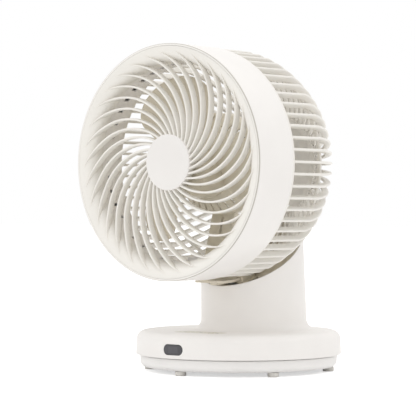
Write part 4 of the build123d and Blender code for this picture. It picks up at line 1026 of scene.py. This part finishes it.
@dataclass
class Impeller:
    """Three broad twisted blades on a cup."""

    head: Head
    blades: int = 3
    stations: int = 36
    start: float = -54.0
    span: float = 64.0
    crest: float = 0.57
    front: float = 24.3
    rear: float = 60.3
    root: float = 32.8
    end: float = 55.0
    tip: float = 88.5
    root_half: float = 1.5
    tip_thinner: float = 0.6
    cup_radius: float = 34.0
    cup_wall: float = 2.5
    cup_front: float = 18.3
    cup_rear: float = 63.3
    bore: float = 3.1
    boss: float = 9.0

    def _station(self, swing: float) -> Place:
        """One cut through a blade, from root to tip.

        Args:
            swing: how far along the blade it is, from 0 to half a turn.

        Returns:
            The cut's loop.
        """
        side = -cos(swing)
        share = self.crest + side * (self.crest if side < 0 else 1 - self.crest)
        turn = radians(self.start + share * self.span)
        tip = self.end + (self.tip - self.end) * sin(swing)
        depth = self.front + share * (self.rear - self.front)
        radial = Vector((sin(turn), 0, cos(turn)))
        thin = min(1.0, 0.35 + 22 * min(share, 1 - share))

        def place(angle: float) -> Vector:
            """A point on the cut's edge."""
            c, s = cos(angle), sin(angle)
            reach = abs(c) ** 0.5 * (1 if c > 0 else -1)
            out = (self.root + tip) / 2 + (tip - self.root) / 2 * reach
            half = (self.root_half - self.tip_thinner * (out - self.root) / (tip - self.root)) * thin
            edge = min(1.0, 2.2 * abs(s)) * (1 if s > 0 else -1)
            return radial * out + Vector((0, depth + half * edge, 0))
        return place

    def build(self) -> None:
        """Builds the cup and its blades, and the nut in front of them."""
        swings = [pi * k / self.stations for k in range(self.stations + 1)]
        fan = Shape().lofted([self._station(swing) for swing in swings], 40).repeat(self.blades, Axis.HEAD)
        out, front, rear = self.cup_radius, self.cup_front, self.cup_rear
        inner, floor = out - self.cup_wall, front + self.cup_wall
        corners = [
            (self.bore, front), (out - 8, front, 1.0), (out, front + 6, 6.0), (out, rear, 0.8),
            (inner, rear, 0.8), (inner, front + 6, 3.0), (out - 7, floor, 1.0), (self.boss, floor, 0.8),
            (self.boss, rear - 2, 0.5), (self.bore, rear - 2, 0.3),
        ]
        fan.turned(corners, Axis.HEAD, steps=96, soft=5)
        self.head.placed(fan).piece("fan_rotor", Finish.IMPELLER, "fan", "impeller_plastic", "impeller")
        softened("spinner_nut", "rotor_nut", Finish.IMPELLER, "fan", "impeller_plastic", 0.3, 30.0)


# The base


@dataclass
class Base:
    """Tray, feet, cover and neck. The neck's middle and radius are each a start at the deck and a change."""

    tilt_centre: Vector = field(default_factory=lambda: Vector((0, -39.0, HEAD_HEIGHT)))
    deck_top: float = 40.5
    deck_under: float = 38.1
    wall: float = 2.4
    cover_radius: float = 102.5
    cover_crown: float = 101.5
    cover_foot: float = 16.8
    deck_edge: float = 92.0
    flare: float = 10.0
    neck_height: float = 124.5
    neck_middle: Point = (25.2, -4.3)
    neck_radius: Point = (53.5, -2.6)
    cradle_radius: float = 121.0
    rim_round: float = 1.0
    liner_radius: float = 123.0
    liner_wall: float = 1.8
    liner_middle: float = 21.0
    liner_hole: float = 0.03
    rail_slope: float = 17.0
    rail_slot: tuple[Corner, Corner] = ((-18.75, -9.0, -140.0), (27.75, 11.0, -100.0))
    panel_y: float = -59.0
    panel_width: float = 54.0
    panel_depth: float = 24.0
    panel_corner: float = 6.0
    window_gap: float = 0.1
    window_shrink: float = 5.2
    window_face: float = 102.1
    window_back: float = 99.6
    tray_radius: float = 98.3
    tray_under: float = 4.4
    tray_floor: float = 6.8
    tray_top: float = 20.5
    inlet_block: tuple[Corner, Corner] = ((-10.0, 84.0, 5.0), (10.0, 95.5, 16.0))
    inlet_recess: tuple[Corner, Corner] = ((-8.0, 86.3, 7.4), (8.0, 106.0, 14.6))
    inlet_bore: float = 3.5
    inlet_z: float = 11.0
    foot_ring: float = 90.0
    foot_radius: float = 5.5
    foot_stem: float = 2.0
    foot_count: int = 6
    segments: int = 216

    def neck(self, height: float, inset: float) -> Point:
        """The neck's middle and radius at a height, less an inset."""
        share = (height - self.deck_top) / self.neck_height
        (middle, lean), (radius, taper) = self.neck_middle, self.neck_radius
        return middle + lean * share, radius + taper * share - inset

    def neck_point(self, height: float, inset: float) -> Place:
        """A loop round the neck at one height."""
        middle, radius = self.neck(height, inset)
        return lambda turn: Vector((radius * cos(turn), middle + radius * sin(turn), height))

    def sphere_z(self, x: float, y: float, radius: float) -> float:
        """Height of the lower side of a sphere about the tilt centre."""
        off = self.tilt_centre
        return off.z - sqrt(radius ** 2 - (x - off.x) ** 2 - (y - off.y) ** 2)

    def rim_point(self, turn: float, inset: float, radius: float, drop: float = 0.0) -> Vector:
        """Where the neck's wall meets a sphere about the tilt centre, found in a few rounds.

        Args:
            turn: the angle round the neck.
            inset: how far inside the neck's outer face it is.
            radius: the sphere's radius.
            drop: how far under the sphere it is.

        Returns:
            The point.
        """
        height = 100.0
        for _ in range(6):
            spot = self.neck_point(height, inset)(turn)
            height = self.sphere_z(spot.x, spot.y, radius)
        return self.neck_point(height - drop, inset)(turn)

    def _rim_loop(self, share: float) -> Place:
        """A loop over the neck's rounded rim.

        Args:
            share: 0 to 1 goes round the outer edge, and 1 to 2 round the inner one.

        Returns:
            The loop.
        """
        def place(turn: float) -> Vector:
            """A point of the loop, on a curve with the edge as its middle handle."""
            outer, inner = (self.rim_point(turn, i, self.cradle_radius) for i in (0.0, self.wall))
            across = (inner - outer).normalized() * 0.9
            corner, over, inset, step = outer, outer + across, 0.0, share
            if share > 1:
                corner, over, inset, step = inner, inner - across, self.wall, 2 - share
            under = self.rim_point(turn, inset, self.cradle_radius, self.rim_round)
            return under * (1 - step) ** 2 + corner * (2 * step * (1 - step)) + over * step ** 2
        return place

    def _between(self, share: float, inset: float, low: float) -> Place:
        """A loop part of the way from a height up to the rim.

        Args:
            share: how far up it is, from 0 to 1.
            inset: how far inside the neck's outer face it is.
            low: the height that it starts from.

        Returns:
            The loop.
        """
        foot = self.neck_point(low, inset)
        return lambda turn: foot(turn).lerp(
            self.rim_point(turn, inset, self.cradle_radius, self.rim_round), share
        )

    def cover(self) -> None:
        """Round cover with a filleted top, and the neck flaring up out of it to a rim cut to the head."""
        top, under, flare, wall = self.deck_top, self.deck_under, self.flare, self.wall
        out, crown, foot = self.cover_radius, self.cover_crown, self.cover_foot
        side = [
            (self.deck_edge - 1, under), (crown - wall, under, 6.1), (out - wall, foot + 0.2, 0.4),
            (out, foot, 0.7), (crown, top, 8.5), (self.deck_edge, top),
        ]
        shell = Shape().turned(side, Axis.BASE, closed=False, steps=self.segments, soft=10)
        quarter = [radians(90 * k / 8) for k in range(9)]
        stations = [self.neck_point(top + flare * (1 - cos(a)), -flare * (1 - sin(a))) for a in quarter]
        stations += [self._between(s, 0.0, top + flare) for s in (0.15, 0.3, 0.5, 0.7, 0.85, 0.97)]
        stations += [self._rim_loop(s) for s in (0, 0.33, 0.66, 1, 1.0001, 1.34, 1.67, 2)]
        stations += [self._between(s, wall, under) for s in (0.9, 0.6, 0.3)]
        stations.append(self.neck_point(under, wall))
        shell.lofted(stations, self.segments, capped=False).tidy()
        opening = self._deck(shell, top) + self._deck(shell, under)
        bmesh.ops.bridge_loops(shell.mesh, edges=opening)
        shell.tidy().carve(Shape().lofted([self._slot(radius) for radius in (110.0, 92.0)], 48))
        shell.piece("base_cover", Finish.SHELL, "turntable", "shell_plastic", "base_shell", sharp=32)

    def _deck(self, shell: Shape, height: float) -> list[bmesh.types.BMEdge]:
        """Fills the flat between the cover's edge, the neck's foot and the panel's rounded opening.

        Args:
            shell: the cover's shape.
            height: the flat's height.

        Returns:
            The edges of the panel's opening.
        """
        edges = [e for e in shell.mesh.edges
                 if len(e.link_faces) == 1 and all(abs(v.co.z - height) < 0.01 for v in e.verts)]
        across, along = self.panel_width / 2, self.panel_depth / 2
        signs = ((-1, -1), (1, -1), (1, 1), (-1, 1))
        corners = [(x * across, self.panel_y + y * along, self.panel_corner) for x, y in signs]
        verts = [shell.mesh.verts.new((x, y, height)) for x, y in rounded(corners, steps=8)]
        opening = [shell.mesh.edges.new(pair) for pair in zip(verts, verts[1:] + verts[:1])]
        bmesh.ops.triangle_fill(shell.mesh, edges=edges + opening, use_beauty=True)
        return opening

    def _slot(self, radius: float, gap: float = 0.0, scale: float = 1.0) -> Place:
        """A loop on the window's round-ended outline, laid on a cylinder about the base's axis.

        Args:
            radius: the cylinder's radius.
            gap: how much narrower and lower it is than the opening.
            scale: 1 for the outline, and less towards its middle line.

        Returns:
            The loop.
        """
        end = (WINDOW_HEIGHT - gap) * scale / 2
        straight = (WINDOW_WIDTH - gap) / 2 - (1 - scale) * self.window_shrink - end

        def place(turn: float) -> Vector:
            """A point of the loop."""
            side = min(1.0, abs(cos(turn)) * 40) * (1 if cos(turn) > 0 else -1)
            x = end * cos(turn) + straight * side
            return Vector((x, -sqrt(radius ** 2 - x ** 2), WINDOW_Z + end * sin(turn)))
        return place

    def window(self) -> None:
        """Dark window let into the front of the cover, curved like it."""
        face, back = self.window_face, self.window_back
        stations = [self._slot(face, self.window_gap, scale) for scale in (0.04, 0.3, 0.55, 0.8, 0.93)]
        stations += [self._slot(face - 0.06, self.window_gap, 0.975), self._slot(face - 0.3, self.window_gap)]
        stations += [self._slot(back, self.window_gap, scale) for scale in (1.0, 0.5, 0.04)]
        lens = Shape().lofted(stations, 48).tidy()
        lens.piece("remote_window", Finish.WINDOW, "turntable", "window_plastic", "ir_window")

    def dish(self) -> None:
        """Dish that closes the neck under the head, open where the rail's shoes stand. Its warmer, darker
        ivory is painted shade.
        """
        def loop(share: float, radius: float) -> Place:
            """A loop on a sphere about the tilt centre, from the dish's middle at 0 to its edge at 1."""
            def place(turn: float) -> Vector:
                """A point of the loop."""
                edge = self.rim_point(turn, self.wall + 0.2, radius)
                x, y = edge.x * share, self.liner_middle + (edge.y - self.liner_middle) * share
                return Vector((x, y, self.sphere_z(x, y, radius)))
            return place
        shares = [self.liner_hole + (1 - self.liner_hole) * k / 14 for k in range(15)]
        stations = [loop(s, self.liner_radius) for s in shares]
        stations += [loop(s, self.liner_radius + self.liner_wall) for s in reversed(shares)]
        dish = Shape().lofted(stations, 120).tidy()
        slot = Shape().box(*self.rail_slot).tidy().soften(3.0, segments=4)
        slope = Matrix.Rotation(radians(self.rail_slope), 3, "X")
        bmesh.ops.rotate(slot.mesh, verts=slot.mesh.verts, matrix=slope)
        dish.carve(slot.move(self.tilt_centre)).soften(0.4, 40.0)
        dish.piece("neck_dish", Finish.LINER, "turntable", "liner_plastic", "cradle_liner")

    def tray(self) -> None:
        """Tray with a rounded bottom edge and the recess for the power plug."""
        out, under, floor, top = self.tray_radius, self.tray_under, self.tray_floor, self.tray_top
        corners = [
            (0, under), (66.0, under), (66.8, under + 0.6, 0.3), (68.2, under + 0.6, 0.3), (69.0, under),
            (out, under, 6.0), (out, 16.2, 0.5), (out - 2.5, 16.2, 0.2), (out - 2.5, top, 0.4),
            (out - 4.9, top, 0.4), (out - 4.9, floor, 3.0), (0, floor),
        ]
        tray = Shape().turned(corners, Axis.BASE, closed=False, steps=self.segments, soft=8)
        tray.carve(Shape().box(*self.inlet_block), Cut.JOIN)
        tray.carve(Shape().box(*self.inlet_recess).tidy().soften(1.5, segments=4))
        nose = [(0, 80.0), (self.inlet_bore, 80.0), (self.inlet_bore, 90.0), (0, 90.0)]
        bore = Shape().turned(nose, Axis.HEAD, closed=False, steps=32)
        tray.carve(bore.move((0, 0, self.inlet_z)))
        tray.piece("stand_tray", Finish.TRAY, "stand", "tray_plastic", "bottom_tray", sharp=32)

    def feet(self) -> None:
        """Round rubber feet with rounded edges."""
        out, stem, under, floor = self.foot_radius, self.foot_stem, self.tray_under, self.tray_floor
        corners = [(0, 0), (out - 0.5, 0, 0.6), (out, 0.9, 0.5), (out, under), (stem, under), (stem, floor),
                   (0, floor)]
        feet = Shape().turned(corners, Axis.BASE, closed=False, steps=40).move((0, -self.foot_ring, 0))
        feet.repeat(self.foot_count, Axis.BASE).tidy()
        feet.piece("stand_feet", Finish.RUBBER, "stand", "foot_rubber", "rubber_feet")

    def build(self) -> None:
        """Builds every piece of the base."""
        self.cover()
        self.window()
        self.dish()
        self.tray()
        self.feet()


RING = [(1.5 * sin(radians(angle)), 1.5 * cos(radians(angle))) for angle in range(0, 361, 10)]


class Mark(Enum):
    """The plain sign on each key, as strokes: points in millimetres from the key's middle."""

    POWER = [RING[4:33], [(0, 0.3), (0, 1.9)]]
    SPEED = [[(-1.4, -1.3), (-1.4, -0.5)], [(0, -1.3), (0, 0.4)], [(1.4, -1.3), (1.4, 1.4)]]
    PAN = [[(-1.9, 0), (1.9, 0)], [(-1.2, 0.8), (-1.9, 0), (-1.2, -0.8)], [(1.2, 0.8), (1.9, 0), (1.2, -0.8)]]
    TILT = [[(y, x) for x, y in stroke] for stroke in PAN]
    TIMER = [RING, [(0, 0.9), (0, 0), (0.7, -0.4)]]


@dataclass
class Keypad:
    """The control panel and its five keys."""

    base: Base
    pitch: float = 10.0
    radius: float = 4.0
    flange: float = 4.7
    stem: float = 1.5
    foot: float = 33.8
    dish_depth: float = 0.35
    line_width: float = 0.32
    line_height: float = 0.06
    line_drop: float = 0.19

    def build(self) -> None:
        """Builds the panel and the keys."""
        softened("control_panel", "key_panel", Finish.PANEL, "turntable", "shell_plastic", 0.2)
        y, top, out, flange, stem = self.base.panel_y, self.base.deck_top, self.radius, self.flange, self.stem
        corners = [
            (0, top - self.dish_depth), (2.6, top - 0.2), (out, top, 0.6), (out, top - 4.0),
            (flange, top - 4.1), (flange, top - 5.1), (stem, top - 5.1), (stem, self.foot), (0, self.foot),
        ]
        for number, mark in enumerate(Mark):
            x, use = (number - 2) * self.pitch, mark.name.lower()
            key = Shape().turned(corners, Axis.BASE, closed=False, steps=56, soft=5).tidy().move((x, y, 0))
            key.piece(f"key_{use}", Finish.KEY, f"{use}_key", "button_plastic", f"button_{use}")
            sign = Shape()
            for stroke in mark.value:
                self._stroke(sign, [Vector((x + px, y + py, top - self.line_drop)) for px, py in stroke])
            sign.tidy().piece(f"sign_{use}", Finish.PRINT, f"{use}_key", "button_plastic")

    def _stroke(self, shape: Shape, points: list[Vector]) -> None:
        """Adds one printed stroke as a thin raised line.

        Args:
            shape: the sign that it is added to.
            points: the places that it runs through.
        """
        for a, b in zip(points, points[1:]):
            along = (b - a).normalized()
            side = Vector((-along.y, along.x, 0)) * (self.line_width / 2)
            start, end = a - along * 0.05, b + along * 0.05
            verts = [shape.mesh.verts.new(p) for p in (start - side, end - side, end + side, start + side)]
            made = bmesh.ops.extrude_face_region(shape.mesh, geom=[shape.mesh.faces.new(verts)])["geom"]
            upper = [g for g in made if isinstance(g, bmesh.types.BMVert)]
            bmesh.ops.translate(shape.mesh, verts=upper, vec=(0, 0, self.line_height))


@dataclass
class Workings:
    """The pieces inside that keep their own meshes, or a softened copy of them."""

    plain: dict[Finish, tuple[str, ...]] = field(default_factory=lambda: {
        Finish.STEEL: (
            "ballast_plate", "pivot_screw", "ring_gear_screws", "pan_motor", "tilt_motor", "shell_screws",
            "head_screws", "motor_stator", "motor_bearings", "motor_shaft", "rotor",
        ),
        Finish.SLIP: ("pan_ring_gear", "bearing_ring", "pan_pinion", "tilt_pinion"),
        Finish.BLACK: ("dc_jack", "ir_receiver"),
        Finish.TRAY: ("turntable_plate",),
        Finish.BOARD: ("control_board",),
    })

    def build(self) -> None:
        """Dresses the nodes that stay and softens two that show."""
        softened("tilt_frame", "tilt_bracket", Finish.LINER, "turntable", "liner_plastic", 0.4)
        softened("rail_guides", "rail_shoes", Finish.LINER, "turntable", "slip_plastic", 0.3)
        for finish, nodes in self.plain.items():
            for node in nodes:
                finish.on(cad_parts[node])
                log.info("%s keeps its mesh", node)


# The studio


@dataclass
class Studio:
    """Floor, light and camera, in metres."""

    azimuth: float = 39.2
    distance: float = 2.0
    slide: float = -0.0305
    eye: float = 0.162
    sensor: float = 36.0
    picture: float = 416.0
    lens_pixels: float = 2000.0
    aim: float = 0.16
    ambient: float = 0.87
    ambient_colour: tuple[float, ...] = (1.0, 0.995, 0.985, 1.0)
    floor_half: float = 12.0
    floor_colour: tuple[float, ...] = (0.93, 0.93, 0.93, 1.0)
    floor_glow: float = 0.55

    def floor(self) -> None:
        """A pale floor that shows white to the camera and keeps the shadow."""
        shape = Shape()
        bmesh.ops.create_grid(shape.mesh, x_segments=1, y_segments=1, size=self.floor_half)
        floor = shape.loose("floor")
        sheet = Sheet(bpy.data.materials.new("pale_floor"))
        diffuse = sheet.add("ShaderNodeBsdfDiffuse", inputs={"Color": self.floor_colour})
        light = {"Color": (1, 1, 1, 1), "Strength": sheet.seen() * self.floor_glow}
        glow = sheet.add("ShaderNodeEmission", inputs=light)
        sheet.end(sheet.add("ShaderNodeAddShader", inputs={0: diffuse, 1: glow}))
        floor.data.materials.append(sheet.owner)

    def world(self) -> None:
        """White to the camera and in reflections, soft light elsewhere."""
        world = bpy.context.scene.world = bpy.data.worlds.new("studio")
        sheet = Sheet(world, "World")
        light = {"Color": self.ambient_colour, "Strength": self.ambient}
        soft = sheet.add("ShaderNodeBackground", inputs=light)
        white = sheet.add("ShaderNodeBackground", inputs={"Color": (1, 1, 1, 1)})
        sheet.end(sheet.add("ShaderNodeMixShader", inputs={0: sheet.seen(), 1: soft, 2: white}))

    def lamp(self, name: str, at: Sequence[float], size: float, power: float) -> None:
        """A square soft lamp that faces the fan.

        Args:
            name: the lamp's name.
            at: where it stands.
            size: how wide it is.
            power: how strong it is, in watts.
        """
        data = bpy.data.lights.new(name, "AREA")
        data.energy, data.size, data.shape = power, size, "SQUARE"
        lamp = shown(name, data)
        lamp.location = at
        lamp.rotation_euler = (Vector((0, 0, self.aim)) - Vector(at)).to_track_quat("-Z", "Y").to_euler()

    def camera(self) -> None:
        """A long lens level with the middle of the fan."""
        data = bpy.data.cameras.new("camera")
        data.lens = self.lens_pixels / self.picture * self.sensor
        data.sensor_width, data.clip_end = self.sensor, 50.0
        camera = shown("camera", data)
        turn = radians(self.azimuth)
        back, right = Vector((sin(turn), -cos(turn), 0)), Vector((cos(turn), sin(turn), 0))
        camera.location = back * self.distance + right * self.slide + Vector((0, 0, self.eye))
        camera.rotation_euler = (radians(90), 0, turn)
        bpy.context.scene.camera = camera

    def build(self) -> None:
        """Sets the stage."""
        bpy.context.scene.view_settings.view_transform = "Standard"
        self.camera()
        self.world()
        self.floor()
        self.lamp("key", (0.5, -0.2, 2.7), 1.6, 14)
        self.lamp("fill", (-0.3, -2.2, 0.35), 1.2, 1)
        self.lamp("side", (-1.7, -0.9, 1.3), 1.2, 3)


def main() -> None:
    """Builds the fan and its studio."""
    logging.basicConfig(level=logging.INFO, format="%(name)s: %(message)s")
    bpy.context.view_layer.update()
    Studio().build()
    head, base = Head(), Base()
    head.build()
    Impeller(head).build()
    base.build()
    Keypad(base).build()
    Workings().build()
    bpy.context.view_layer.update()


if __name__ == "__main__":
    main()
